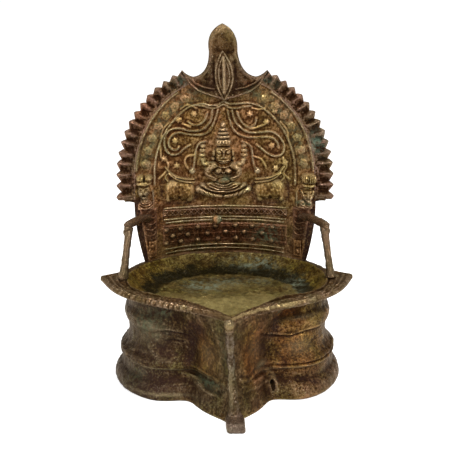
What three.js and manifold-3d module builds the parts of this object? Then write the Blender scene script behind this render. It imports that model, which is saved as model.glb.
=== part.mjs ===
// A cast brass oil lamp: a shallow oil bowl with a leaf-pointed rim on a hollow, waisted pedestal
// that is drawn out to a keeled nose, and a figured back plate braced by two side struts.
// Millimetres, +Z up, the nose and spout toward -Y, the back plate toward +Y.

import * as THREE from "three";
import { TessellateModifier } from "three/addons/modifiers/TessellateModifier.js";
import { mergeVertices } from "three/addons/utils/BufferGeometryUtils.js";
import Module from "manifold-3d";

const wasm = await Module();
wasm.setup();

// Clearances between pieces that were made apart and set together
const seatGap = 0.3;
const slotGap = 0.3;

// Pedestal
const pedestalHeight = 54;
const footRadius = 65.2;
const footHeight = 10;
const bandRadius = 61;
const beadingRadius = 62.2;
const beadingHeight = 2.4;
const bandTop = 21.4;
const waistRadius = 56.8;
const waistHeight = 29;
const rollRadius = 59.6;
const rollBottom = 36.2;
const rollTop = 43.6;
const neckRadius = 57;
const neckHeight = 46.5;
const seatRadius = 59.5;
const wallThickness = 2.8;
const castingHoleWidth = 3;
const castingHoleHeight = 7;
const castingHoleLevel = 8.5;
const castingHoleAngle = THREE.MathUtils.degToRad(28);

// Nose of the pedestal: where the wall folds in and how far the keel line stands out
const coreNoseReach = 9;
const noseStand = 0.8;
const plinthStand = 2.2;
const noseAngle = THREE.MathUtils.degToRad(9);
const foldDepthLow = 12;
const foldDepthHigh = 8.5;
const foldAngleLow = THREE.MathUtils.degToRad(26);
const foldAngleHigh = THREE.MathUtils.degToRad(35);
const foldWidthLow = THREE.MathUtils.degToRad(12);
const foldWidthHigh = THREE.MathUtils.degToRad(22);

// Keel rib, its knob and its toe
const keelWidth = 4.6;
const keelDepthInNose = 4;
const keelStand = 3.6;
const knobRadius = 2.9;
const toeWidth = 10.4;
const toeHeight = 5;
const toeLength = 8.5;

// Oil bowl and its rim
const rimThickness = 3.5;
const cavityRadius = 57.5;
const cavityDepth = 9.5;
const panWall = 2.6;
const backRimWidth = 3.7;
const frontRimRadius = 59.2;
const spoutTipRadius = 78.2;
const leafTipRadius = 73.6;
const leafTipAngle = THREE.MathUtils.degToRad(95);

// Back plate
const plateThickness = 3;
const plateTopSetback = 46;
const plateFootHalfWidth = 48;
const plateShoulderHalfWidth = 54.2;
const plateShoulderHeight = 93.5;
const archCentreHeight = 109;
const plateArch = { halfWidth: 60, rise: 59 };
const outerArch = { halfWidth: 52.6, rise: 57.5 };
const innerArch = { halfWidth: 42, rise: 46.5 };

// Flame border
const borderInnerLap = 1.3;
const borderThickness = 1.8;
const toothTips = { halfWidth: 64.6, rise: 67 };
const toothDepth = 2.6;
const teethPerSide = 15;
const ridgeRadius = 1.1;
const borderFoot = 96;

// Hood finial and the eye-shaped leaf under it
const finialTop = 198.5;
const hoodHalfWidth = 8.4;
const hoodLevel = 186;
const finialThickness = 3;
const hornTipHalfSpan = 25.8;
const hornTipHeight = 171.6;
const troughHalfSpan = 18.4;
const troughHeight = 167.2;
const eyeHalfWidth = 5.2;
const eyeBottom = 153.6;
const eyeTop = 183;

// Raised wires and ornament
const archWireRadius = 0.65;
const scrollWireRadius = 0.55;
const rosetteCount = 7;
const rosetteRadius = 2.5;
const rosetteThickness = 1.1;
const throneHalfWidth = 37;
const throneTop = 88.4;
const throneWireRadius = 0.6;
const throneWireDrop = 7;
const beadPanelFoot = 65.2;
const beadPanelTop = 77.2;
const footWireHeights = [63.4, 60.6];
const hatchHeight = 3.8;
const beadPitch = 10.8;
const beadRadius = 1;
const bossRadius = 2.9;
const pilasterThickness = 1.2;
const pilasterTop = 88.6;

// Side struts
const strutWidth = 4.6;
const strutDepth = 6;
const armThickness = 4.4;
const postBase = new THREE.Vector3(cavityRadius + strutWidth / 2 - 0.2, 0, pedestalHeight + rimThickness);
const postTop = new THREE.Vector3(55.8, 8, 87.6);
const armEnd = new THREE.Vector3(44.5, 44, 83);

// Sizes that follow from others: the nose runs out to the spout, and the toe ends in front of it
const noseReach = spoutTipRadius - seatRadius + noseStand;
const toeReach = noseTip(0) + keelStand + toeLength;
const rosetteArch = {
  halfWidth: (outerArch.halfWidth + innerArch.halfWidth) / 2,
  rise: (outerArch.rise + innerArch.rise) / 2,
};
const borderMeanRadius = (toothTips.halfWidth + toothTips.rise) / 2;
const borderUpright = archCentreHeight - borderFoot;
const borderTopAngle = Math.acos((hornTipHalfSpan + slotGap) / toothTips.halfWidth);
const toothPitch = (borderUpright + borderTopAngle * borderMeanRadius) / (teethPerSide - 1);
const archBandRoom = outerArch.halfWidth - innerArch.halfWidth - 2 * archWireRadius;
const rimTop = pedestalHeight + rimThickness;
const plinthTop = bandTop - 2 * beadingHeight;
const cavityFloor = rimTop - cavityDepth;
const backRimRadius = cavityRadius + backRimWidth;
const turns = 54;
const hiddenTurns = 36;

const brass = {
  body: [0x7a5a36, 0.46],
  rim: [0x77664a, 0.5],
  bowl: [0x6f6132, 0.52],
  plate: [0x4f3b24, 0.55],
  border: [0x6b5636, 0.5],
  wire: [0x9c8350, 0.4],
  figure: [0x8f7440, 0.44],
  dark: [0x453322, 0.6],
};

function material([color, roughness]) {
  return new THREE.MeshStandardMaterial({ color, roughness, metalness: 0.85 });
}

// Turns a three.js geometry into a solid for cutting and joining.
function solid(geometry) {
  const bare = geometry.clone();
  for (const name of ["normal", "uv"]) bare.deleteAttribute(name);
  const welded = mergeVertices(bare, 1e-4);
  const index = welded.index.array;
  const triVerts = [];
  for (let i = 0; i < index.length; i += 3) {
    const [a, b, c] = [index[i], index[i + 1], index[i + 2]];
    if (a !== b && b !== c && a !== c) triVerts.push(a, b, c);
  }
  return new wasm.Manifold(new wasm.Mesh({
    numProp: 3,
    vertProperties: new Float32Array(welded.attributes.position.array),
    triVerts: new Uint32Array(triVerts),
  }));
}

function joined(geometries) {
  return geometries.map(solid).reduce((whole, piece) => whole.add(piece));
}

// Turns a finished solid back into a three.js geometry.
function shaped(body) {
  const mesh = body.getMesh();
  const geometry = new THREE.BufferGeometry();
  const count = mesh.vertProperties.length / mesh.numProp;
  const points = new Float32Array(count * 3);
  for (let i = 0; i < count; i += 1) {
    for (let k = 0; k < 3; k += 1) points[i * 3 + k] = mesh.vertProperties[i * mesh.numProp + k];
  }
  geometry.setAttribute("position", new THREE.BufferAttribute(points, 3));
  geometry.setIndex(Array.from(mesh.triVerts));
  geometry.computeVertexNormals();
  return geometry;
}

function box(xSpan, ySpan, zSpan) {
  const geometry = new THREE.BoxGeometry(xSpan[1] - xSpan[0], ySpan[1] - ySpan[0], zSpan[1] - zSpan[0]);
  const mid = [xSpan, ySpan, zSpan].map(([low, high]) => (low + high) / 2);
  return geometry.translate(...mid);
}

function moved(geometry, change) {
  const position = geometry.attributes.position;
  const point = new THREE.Vector3();
  for (let i = 0; i < position.count; i += 1) {
    point.fromBufferAttribute(position, i);
    change(point);
    position.setXYZ(i, point.x, point.y, point.z);
  }
  return geometry;
}

// Revolves a profile of [radius, height] points about the lamp's axis. The steps of the turn lie
// closer together toward the nose, and plan(radius, angle, height) gives the drawn-out radius.
function turned(profile, plan, steps = turns) {
  const crowding = 0.5;
  const points = profile.map(([radius, height]) => new THREE.Vector2(radius, height));
  const geometry = new THREE.LatheGeometry(points, steps).rotateX(Math.PI / 2);
  return moved(geometry, (point) => {
    const radius = Math.hypot(point.x, point.y);
    if (radius < 1e-6) return;
    const even = Math.atan2(point.x, -point.y);
    const angle = even - crowding * Math.sin(even);
    const reach = plan(radius, Math.abs(angle), point.z);
    point.x = reach * Math.sin(angle);
    point.y = -reach * Math.cos(angle);
  });
}

function curvePoints(path, divisions) {
  return path.getPoints(divisions).map((p) => [p.x, p.y]);
}

// Inward fold beside the nose and the nose itself, as an addition to the round radius
function frontPull(angle, height, reach) {
  const level = THREE.MathUtils.clamp(height / pedestalHeight, 0, 1);
  const depth = THREE.MathUtils.lerp(foldDepthLow, foldDepthHigh, level);
  const centre = THREE.MathUtils.lerp(foldAngleLow, foldAngleHigh, level);
  const width = THREE.MathUtils.lerp(foldWidthLow, foldWidthHigh, level);
  const fold = depth * Math.exp(-(((angle - centre) / width) ** 2));
  return reach * Math.exp(-angle / noseAngle) - fold;
}

function pedestalOutline() {
  const path = new THREE.Path();
  path.moveTo(footRadius - 2, 0);
  path.quadraticCurveTo(footRadius, 0.4, footRadius, 3);
  path.quadraticCurveTo(footRadius - 0.2, footHeight - 2.5, bandRadius + 0.7, footHeight);
  path.quadraticCurveTo(bandRadius, footHeight + 0.5, bandRadius, footHeight + 2.5);
  path.lineTo(bandRadius + 0.1, plinthTop - 1.6);
  path.lineTo(bandRadius + 0.2, plinthTop);
  for (const rise of [1, 0]) {
    const beadTop = bandTop - rise * beadingHeight;
    path.quadraticCurveTo(beadingRadius + 0.5, beadTop - beadingHeight / 2, bandRadius + 0.2 * rise, beadTop);
  }
  path.quadraticCurveTo(waistRadius + 0.8, bandTop + 2, waistRadius, waistHeight);
  path.lineTo(rollRadius - 2.2, rollBottom - 0.6);
  path.quadraticCurveTo(rollRadius + 1.2, (rollBottom + rollTop) / 2 - 0.6, rollRadius - 1.4, rollTop);
  path.quadraticCurveTo(neckRadius, rollTop + 1.4, neckRadius, neckHeight);
  path.quadraticCurveTo(neckRadius, pedestalHeight - 2, seatRadius, pedestalHeight);
  return curvePoints(path, 2);
}

// The mouldings die out in the fold, and the nose keeps one smooth line from foot to rim.
function noseLine(height) {
  const level = height / pedestalHeight;
  return THREE.MathUtils.lerp(footRadius - 1.2, seatRadius, level) - 5 * Math.sin(Math.PI * level);
}

// Share by which a point of the wall belongs to the round drum and not to the nose
function drumShare(angle, height) {
  const centre = THREE.MathUtils.lerp(foldAngleLow, foldAngleHigh, height / pedestalHeight);
  return THREE.MathUtils.smoothstep(angle, centre * 0.72, centre * 1.2);
}

// The faces of the nose stand back over a plinth that is as high as the band, and come forward again
// at the rim; at the keel there is no step.
function plinthSetback(angle, height) {
  const { smoothstep } = THREE.MathUtils;
  const over = smoothstep(height, plinthTop - 1.6, plinthTop);
  const under = 1 - smoothstep(height, rollBottom - 4, neckHeight);
  const beside = 1 - Math.exp(-((angle / noseAngle) ** 2));
  return plinthStand * over * under * beside * (1 - drumShare(angle, height));
}

function pedestalPlan(radius, angle, height) {
  const round = THREE.MathUtils.lerp(noseLine(height), radius, drumShare(angle, height));
  return round - plinthSetback(angle, height) + frontPull(angle, height, noseReach);
}

// The hollow keeps the wall's thickness behind the faces of the nose.
function corePlan(radius, angle, height) {
  const behindFace = Math.min(radius, noseLine(height) - wallThickness);
  const round = THREE.MathUtils.lerp(behindFace, radius, drumShare(angle, height));
  return round - plinthSetback(angle, height) + frontPull(angle, height, coreNoseReach);
}

// How much of the front pull reaches a point of the pan, and how the rim widens to its leaf points
function bowlPlan(radius, angle) {
  const pull = frontPull(angle, pedestalHeight, noseReach);
  if (radius <= cavityRadius) return radius + pull * (radius / cavityRadius) ** 3;
  const edge = rimEdge(angle);
  const across = (radius - cavityRadius) / backRimWidth;
  return THREE.MathUtils.lerp(cavityRadius + pull, edge, across);
}

// Plan of the rim's outer edge: spout point in front, a leaf point at each side, plain at the back
function rimEdge(angle) {
  const degree = Math.PI / 180;
  if (angle > leafTipAngle) {
    const fall = THREE.MathUtils.smoothstep(angle, leafTipAngle, leafTipAngle + 14 * degree);
    return THREE.MathUtils.lerp(leafTipRadius, backRimRadius, fall ** 0.5);
  }
  const spout = (spoutTipRadius - frontRimRadius) * Math.exp(-angle / (9 * degree));
  const apart = leafTipAngle - angle;
  const leaf = leafTipRadius - frontRimRadius;
  const swell = 0.68 * Math.exp(-((apart / (40 * degree)) ** 2));
  const point = 0.32 * Math.exp(-apart / (7 * degree));
  return frontRimRadius + spout + leaf * (swell + point);
}

// Dish of the bowl as radius and height, shifted outward and down for the pan's underside
function dish(offset, divisions) {
  const lipDrop = 1.2;
  const path = new THREE.Path();
  path.moveTo(cavityRadius - lipDrop, rimTop - lipDrop);
  path.quadraticCurveTo(cavityRadius * 0.85, cavityFloor + 1.4, cavityRadius * 0.74, cavityFloor + 0.4);
  path.quadraticCurveTo(cavityRadius * 0.5, cavityFloor, 0, cavityFloor);
  return curvePoints(path, divisions).map(([radius, height]) => [radius, height - offset]);
}

function oilBowl() {
  const panEdge = cavityRadius - 2.2;
  const underside = dish(panWall, 3).reverse().filter(([radius]) => radius < panEdge - 2);
  const profile = [
    ...underside,
    [panEdge, pedestalHeight - 1.6],
    [panEdge, pedestalHeight],
    [backRimRadius - 0.3, pedestalHeight],
    [backRimRadius, rimTop - 1.6],
    [backRimRadius - 0.7, rimTop],
    [cavityRadius, rimTop],
    ...dish(0, 4),
  ];
  return turned(profile, bowlPlan);
}

// Room for the pan in the top of the pedestal
function panPocket() {
  const panEdge = cavityRadius - 2.2;
  const underside = dish(panWall, 3).reverse().filter(([radius]) => radius < panEdge - 2);
  const profile = [
    ...underside.map(([radius, height]) => [radius, height - slotGap]),
    [panEdge + slotGap, pedestalHeight - 1.6 - slotGap],
    [panEdge + slotGap, pedestalHeight + 1],
    [0, pedestalHeight + 1],
  ];
  return turned(profile, bowlPlan);
}

function noseTip(height) {
  return noseLine(height) + frontPull(0, height, noseReach);
}

// Side view of the rib, as distance in front of the axis and height
function keelShape(grow) {
  const levels = [0, 6, 14, 24, 34, 44, pedestalHeight];
  const shape = new THREE.Shape();
  const front = levels.map((z) => new THREE.Vector2(noseTip(z) + keelStand + grow, z));
  const back = levels.map((z) => new THREE.Vector2(noseTip(z) - keelDepthInNose - grow, z));
  shape.setFromPoints([...front, ...back.reverse()]);
  return shape;
}

// Stands a side-view shape upright in the plane of symmetry, centred on its thickness.
function sideExtruded(shape, thickness) {
  const geometry = new THREE.ExtrudeGeometry(shape, { depth: thickness, bevelEnabled: false });
  return geometry.translate(0, 0, -thickness / 2).rotateX(Math.PI / 2).rotateZ(-Math.PI / 2);
}

function keelRib() {
  const knobDistance = spoutTipRadius + slotGap + knobRadius;
  const knob = new THREE.SphereGeometry(knobRadius, 12, 8).scale(1, 1, 1.15);
  const headShape = new THREE.Shape();
  const headBack = spoutTipRadius + slotGap;
  headShape.moveTo(headBack, pedestalHeight);
  headShape.lineTo(headBack, rimTop);
  headShape.lineTo(headBack + knobRadius, rimTop + 0.6);
  headShape.lineTo(knobDistance + 1, pedestalHeight - 2);
  headShape.lineTo(noseTip(44) + keelStand, 44);
  headShape.lineTo(noseTip(44), 44);
  const toe = new THREE.Shape();
  toe.moveTo(noseTip(0) - 2, 0);
  toe.lineTo(toeReach, 0);
  toe.lineTo(toeReach, toeHeight - 2);
  toe.quadraticCurveTo(toeReach - 1, toeHeight, toeReach - 5, toeHeight);
  toe.lineTo(noseTip(0) - 2, toeHeight + 2);
  return joined([
    sideExtruded(keelShape(0), keelWidth),
    sideExtruded(headShape, keelWidth),
    knob.translate(0, -knobDistance, rimTop - knobRadius),
    sideExtruded(toe, toeWidth),
  ]);
}

function keelSlot() {
  const toeRoom = box(
    [-toeWidth / 2 - slotGap, toeWidth / 2 + slotGap],
    [-toeReach - 1, -noseTip(0) + 2 + slotGap],
    [-1, toeHeight + 2 + slotGap],
  );
  return joined([sideExtruded(keelShape(slotGap), keelWidth + 2 * slotGap), toeRoom]);
}

function pedestal() {
  const outline = pedestalOutline();
  const drum = turned([[0, 0], ...outline, [0, pedestalHeight]], pedestalPlan);
  const coreRadius = waistRadius - wallThickness;
  const core = turned([
    [0, -1],
    [footRadius - 5, -1],
    [footRadius - 5, 2],
    [bandRadius - wallThickness, footHeight],
    [bandRadius - wallThickness, bandTop - 2],
    [coreRadius, waistHeight - 2],
    [coreRadius, neckHeight],
    [seatRadius - wallThickness, pedestalHeight + 1],
    [0, pedestalHeight + 1],
  ], corePlan, hiddenTurns);
  const holeReach = 30;
  const hole = new THREE.CylinderGeometry(castingHoleWidth / 2, castingHoleWidth / 2, holeReach, 10)
    .scale(1, 1, castingHoleHeight / castingHoleWidth)
    .translate(0, -waistRadius, castingHoleLevel)
    .rotateZ(castingHoleAngle);
  return solid(drum)
    .subtract(solid(core))
    .subtract(solid(panPocket()))
    .subtract(keelSlot())
    .subtract(solid(hole));
}

// The back plate follows the round bowl at its foot and straightens as it rises: this gives the
// distance of its front face behind the lamp's axis.
function plateFront(x, z) {
  const rise = Math.max(z - rimTop, 0);
  const footFront = cavityRadius + 0.4;
  const bend = Math.exp(-((rise / 38) ** 1.3)) / footFront;
  const centre = plateTopSetback + (footFront - plateTopSetback) * Math.exp(-rise / 30);
  return centre - (1 - Math.sqrt(1 - (bend * x) ** 2)) / bend;
}

// Lays a piece on the plate: x and z stay, and -y becomes height above the plate's front face.
function laid(geometry) {
  return moved(geometry, (point) => {
    point.y += plateFront(point.x, point.z);
  });
}

// Fits what is drawn inside an arch of 42 by 46.5 mm to the inner arch as it is.
function fitted(geometry) {
  return moved(geometry, (point) => {
    point.x *= innerArch.halfWidth / 42;
    point.z = archCentreHeight + (point.z - 109) * (innerArch.rise / 46.5);
  });
}

// Splits long edges, so that a wide piece can follow the bend of the plate.
function supple(geometry, longest) {
  const loose = geometry.index ? geometry.toNonIndexed() : geometry;
  return new TessellateModifier(longest, 10).modify(loose);
}

// Raises a flat outline, drawn in x and z, from one height above the plate to another.
function raised(shape, from, to, options = {}) {
  const settings = { depth: to - from, bevelEnabled: false, curveSegments: 6, ...options };
  return new THREE.ExtrudeGeometry(shape, settings).translate(0, 0, from).rotateX(Math.PI / 2);
}

// Four-sided sheet in columns and rows, from its span at the foot to its span at the top
function panel(footSpan, topSpan, [low, high], height, columns, rows) {
  const { lerp } = THREE.MathUtils;
  const sheet = new THREE.BoxGeometry(1, height - seatGap, 1, columns, 1, rows);
  return moved(sheet, (point) => {
    const [across, up] = [point.x + 0.5, point.z + 0.5];
    point.x = lerp(lerp(footSpan[0], topSpan[0], up), lerp(footSpan[1], topSpan[1], up), across);
    point.y -= (height + seatGap) / 2;
    point.z = lerp(low, high, up);
  });
}

function wire(points, radius, steps, level = seatGap + radius) {
  const path = new THREE.CatmullRomCurve3(points.map(([x, z]) => new THREE.Vector3(x, -level, z)));
  const section = new THREE.Shape();
  const sides = 5;
  for (let i = 0; i < sides; i += 1) {
    const turn = ((i + 0.5) / sides) * 2 * Math.PI;
    const corner = [radius * Math.cos(turn), radius * Math.sin(turn)];
    if (i === 0) section.moveTo(...corner);
    else section.lineTo(...corner);
  }
  return new THREE.ExtrudeGeometry(section, { steps, extrudePath: path, bevelEnabled: false });
}

function ellipsoid([x, level, z], [rx, ry, rz], around = 12, down = 8) {
  return new THREE.SphereGeometry(1, around, down).scale(rx, ry, rz).translate(x, -level, z);
}

// Joins raised forms and cuts them flat at the level where they lie on the plate.
function relief(geometries, from = seatGap) {
  const reach = 120;
  const behind = box([-reach, reach], [-from, reach], [0, 2 * reach]);
  return shaped(joined(geometries).subtract(solid(behind)));
}

function archPoint(arch, angle) {
  return [arch.halfWidth * Math.cos(angle), archCentreHeight + arch.rise * Math.sin(angle)];
}

function mirrored(points, side) {
  return points.map(([x, z]) => [side * x, z]);
}

// Half-width of the back plate at a height: flared sides, a step out, upright edges and an arch
function plateHalfWidth(z) {
  if (z <= plateShoulderHeight) {
    const rise = (z - rimTop) / (plateShoulderHeight - rimTop);
    return THREE.MathUtils.lerp(plateFootHalfWidth, plateShoulderHalfWidth, Math.sin(rise * Math.PI / 2));
  }
  const above = Math.max(z - archCentreHeight, 0) / plateArch.rise;
  return plateArch.halfWidth * Math.sqrt(1 - above ** 2);
}

// A sheet in rows and columns, so that it bends smoothly with the bowl's back edge
function backPlate() {
  const [columns, lowRows, archRows] = [16, 6, 9];
  const crowding = 0.98;
  const heights = [];
  for (let i = 0; i <= lowRows; i += 1) {
    heights.push(THREE.MathUtils.lerp(rimTop, plateShoulderHeight, i / lowRows));
  }
  heights.push(plateShoulderHeight + 2, (plateShoulderHeight + 2 + archCentreHeight) / 2);
  for (let i = 0; i <= archRows; i += 1) {
    heights.push(archCentreHeight + plateArch.rise * Math.sin((i / archRows) * 1.42));
  }
  const rows = heights.length - 1;
  const sheet = new THREE.BoxGeometry(2, plateThickness, rows, columns, 1, rows);
  sheet.translate(0, plateThickness / 2, rows / 2);
  return laid(moved(sheet, (point) => {
    point.z = heights[Math.round(point.z)];
    point.x = plateHalfWidth(point.z) * Math.sin(point.x * crowding) / Math.sin(crowding);
  }));
}

const borderWidth = toothTips.halfWidth - outerArch.halfWidth - borderInnerLap;

// Point of the border by its distance along it from the lower end, and its distance in from the tips
function borderPoint(distance, inset) {
  const share = inset / borderWidth;
  const line = {
    halfWidth: toothTips.halfWidth - inset,
    rise: THREE.MathUtils.lerp(toothTips.rise, outerArch.rise + borderInnerLap, share),
  };
  if (distance < borderUpright) return [line.halfWidth, borderFoot + distance];
  return archPoint(line, (distance - borderUpright) / borderMeanRadius);
}

// The finial's outline, moved out all round by the gap that the border keeps from it
function finialRoom() {
  const shifts = [[1, 0], [-1, 0], [0, 1], [0, -1], [0.7, 0.7], [-0.7, 0.7], [0.7, -0.7], [-0.7, -0.7]];
  return shifts.map(([x, z]) => (
    solid(raised(finialOutline(), -1, 20).translate(x * slotGap, 0, z * slotGap))
  ));
}

function flameBorder(side) {
  const inner = toothTips.halfWidth - borderWidth;
  const length = (teethPerSide - 1) * toothPitch;
  const shape = new THREE.Shape();
  shape.moveTo(inner, borderFoot - 1.4);
  shape.lineTo(toothTips.halfWidth - toothDepth, borderFoot - 1.4);
  for (let i = 0; i < teethPerSide; i += 1) {
    const tip = borderPoint(i * toothPitch, 0);
    const brow = borderPoint(i * toothPitch + 0.28 * toothPitch, 0.5 * toothDepth);
    const valley = borderPoint((i + 0.5) * toothPitch, toothDepth);
    const rising = borderPoint(i * toothPitch - 0.25 * toothPitch, 0.8 * toothDepth);
    shape.lineTo(...rising);
    shape.lineTo(...tip);
    if (i < teethPerSide - 1) {
      shape.lineTo(...brow);
      shape.lineTo(...valley);
    }
  }
  const stations = 14;
  for (let i = 0; i <= stations; i += 1) {
    shape.lineTo(...borderPoint(length * (1 - i / stations), borderWidth));
  }
  const ridges = [];
  for (let i = 0; i < teethPerSide; i += 1) {
    const outer = borderPoint(i * toothPitch, 0.9);
    const root = borderPoint(i * toothPitch, borderWidth - 1.8);
    ridges.push(wire([root, outer], ridgeRadius, 1, seatGap + borderThickness));
  }
  const band = raised(shape, seatGap, seatGap + borderThickness);
  const whole = finialRoom().reduce((left, room) => left.subtract(room), joined([band, ...ridges]));
  return laid(shaped(side > 0 ? whole : whole.mirror([1, 0, 0])));
}

// The finial's outline, from its foot on the plate over each horn and up to the dome
function finialOutline() {
  const shape = new THREE.Shape();
  const foot = eyeBottom - 0.6;
  const hornRoot = { x: 0.58 * hornTipHalfSpan, z: foot + 4.6 };
  const hollow = (hornTipHalfSpan + troughHalfSpan) / 2 - 0.6;
  const shoulder = hoodLevel - 4;
  shape.moveTo(0, foot);
  shape.quadraticCurveTo(0.6 * hornRoot.x, foot + 2.5, hornRoot.x, hornRoot.z);
  shape.quadraticCurveTo(hornTipHalfSpan - 3.8, hornRoot.z + 2.9, hornTipHalfSpan, hornTipHeight);
  shape.quadraticCurveTo(hollow, troughHeight + 0.4, troughHalfSpan, troughHeight);
  shape.quadraticCurveTo(hoodHalfWidth + 1, troughHeight + 1.4, hoodHalfWidth, shoulder);
  shape.quadraticCurveTo(hoodHalfWidth + 1.4, hoodLevel + 8, 0, finialTop);
  shape.quadraticCurveTo(-hoodHalfWidth - 1.4, hoodLevel + 8, -hoodHalfWidth, shoulder);
  shape.quadraticCurveTo(-hoodHalfWidth - 1, troughHeight + 1.4, -troughHalfSpan, troughHeight);
  shape.quadraticCurveTo(-hollow, troughHeight + 0.4, -hornTipHalfSpan, hornTipHeight);
  shape.quadraticCurveTo(3.8 - hornTipHalfSpan, hornRoot.z + 2.9, -hornRoot.x, hornRoot.z);
  shape.quadraticCurveTo(-0.6 * hornRoot.x, foot + 2.5, 0, foot);
  return shape;
}

function hoodFinial() {
  const base = raised(finialOutline(), seatGap, seatGap + finialThickness);
  const hood = ellipsoid([0, finialThickness, hoodLevel + 3], [hoodHalfWidth - 0.5, 4, 9], 12, 8);
  const lip = box([-30, 30], [-20, 20], [eyeTop, finialTop + 5]);
  const dome = solid(hood).intersect(solid(lip));
  return laid(shaped(solid(base).add(dome)));
}

function eyeLeaf() {
  const level = seatGap + finialThickness + seatGap;
  const middle = (eyeBottom + eyeTop) / 2 - 0.5;
  const rim = new THREE.Shape();
  rim.moveTo(0, eyeBottom);
  rim.quadraticCurveTo(2 * eyeHalfWidth, middle, 0, eyeTop - 1);
  rim.quadraticCurveTo(-2 * eyeHalfWidth, middle, 0, eyeBottom);
  const opening = new THREE.Path();
  opening.moveTo(0, eyeBottom + 4);
  opening.quadraticCurveTo(-2 * eyeHalfWidth + 2.6, middle, 0, eyeTop - 5);
  opening.quadraticCurveTo(2 * eyeHalfWidth - 2.6, middle, 0, eyeBottom + 4);
  rim.holes.push(opening);
  const ring = raised(rim, level, level + 1);
  const rib = ellipsoid([0, level, middle], [1.1, 1.3, (eyeTop - eyeBottom) / 2 - 1.6], 6, 8);
  const behind = box([-20, 20], [-level, 20], [100, 220]);
  return laid(shaped(joined([ring, rib]).subtract(solid(behind))));
}

// The outer arch wire runs up each side and stops under the finial's horn.
function halfArchWire(side) {
  const points = [[side * outerArch.halfWidth, archCentreHeight + 2.4]];
  const last = Math.acos((hornTipHalfSpan + 1) / outerArch.halfWidth);
  for (let i = 1; i <= 7; i += 1) {
    const [x, z] = archPoint(outerArch, (i / 7) * last);
    points.push([side * x, z]);
  }
  return laid(wire(points, archWireRadius, 20));
}

// The inner wire dips either side of a small upward cusp in the middle.
function innerArchWire() {
  const half = [[innerArch.halfWidth, plateShoulderHeight + 9], [innerArch.halfWidth, archCentreHeight - 3]];
  for (const degrees of [6, 20, 34, 48, 60]) {
    half.push(archPoint(innerArch, THREE.MathUtils.degToRad(degrees)));
  }
  const shrink = [innerArch.halfWidth / 42, innerArch.rise / 46.5];
  for (const [x, z] of [[15.5, 42.6], [9.5, 41.6], [5, 40.4], [1.6, 41.8]]) {
    half.push([x * shrink[0], archCentreHeight + z * shrink[1]]);
  }
  const other = mirrored(half, -1).reverse();
  return laid(wire([...half, ...other], archWireRadius, 50));
}

function rosette(side, place) {
  const shape = new THREE.Shape();
  const petals = 5;
  for (let i = 0; i < 2 * petals; i += 1) {
    const turn = (i / petals) * Math.PI + 0.3;
    const reach = i % 2 ? rosetteRadius * 0.55 : rosetteRadius;
    const corner = [reach * Math.cos(turn), reach * Math.sin(turn)];
    if (i === 0) shape.moveTo(...corner);
    else shape.lineTo(...corner);
  }
  const first = THREE.MathUtils.degToRad(7);
  const last = THREE.MathUtils.degToRad(60);
  const [x, z] = archPoint(rosetteArch, first + ((last - first) * place) / (rosetteCount - 1));
  const petalsRing = raised(shape, seatGap, seatGap + rosetteThickness);
  const heart = ellipsoid([0, seatGap + rosetteThickness, 0], [0.9, 0.8, 0.9], 6, 4);
  return laid(shaped(joined([petalsRing, heart])).translate(side * x, 0, z));
}

// Outer line of the big scroll: down beside the crown, out, and curled in at its end
const scrollOuterLine = [
  [7.4, 147], [8.6, 142], [11.6, 137.8], [16.4, 135.4], [22.4, 135.4], [28, 136.2], [33.2, 133.4],
  [35.6, 128.6], [34.2, 122.8], [30.4, 120.2], [26.4, 121.4], [22.4, 125], [17.6, 127.4],
];
const scrollInnerLine = [
  [3.6, 147], [4.4, 141.8], [7.4, 135.8], [12, 132], [18, 130.6], [24.6, 132.4], [29, 132.6],
  [31.9, 130], [31.8, 126.6], [29.2, 124], [26.6, 125.4],
];
const curlLine = [[10.4, 145], [12.8, 141.2], [16.2, 138.9], [19.6, 139.8], [21.4, 142.6], [20.6, 145.4]];
const haloLine = [[11.4, 128.6], [15.2, 126.4], [17, 122], [17.4, 117], [19, 111]];

function scroll(line, side, steps) {
  return laid(fitted(wire(mirrored(line, side), scrollWireRadius, steps)));
}

function haloWire(side) {
  const vase = ellipsoid([side * 19.4, seatGap + 1, 110.2], [1.9, 1.6, 1.8], 8, 6);
  return laid(fitted(relief([wire(mirrored(haloLine, side), scrollWireRadius, 10), vase])));
}

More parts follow.
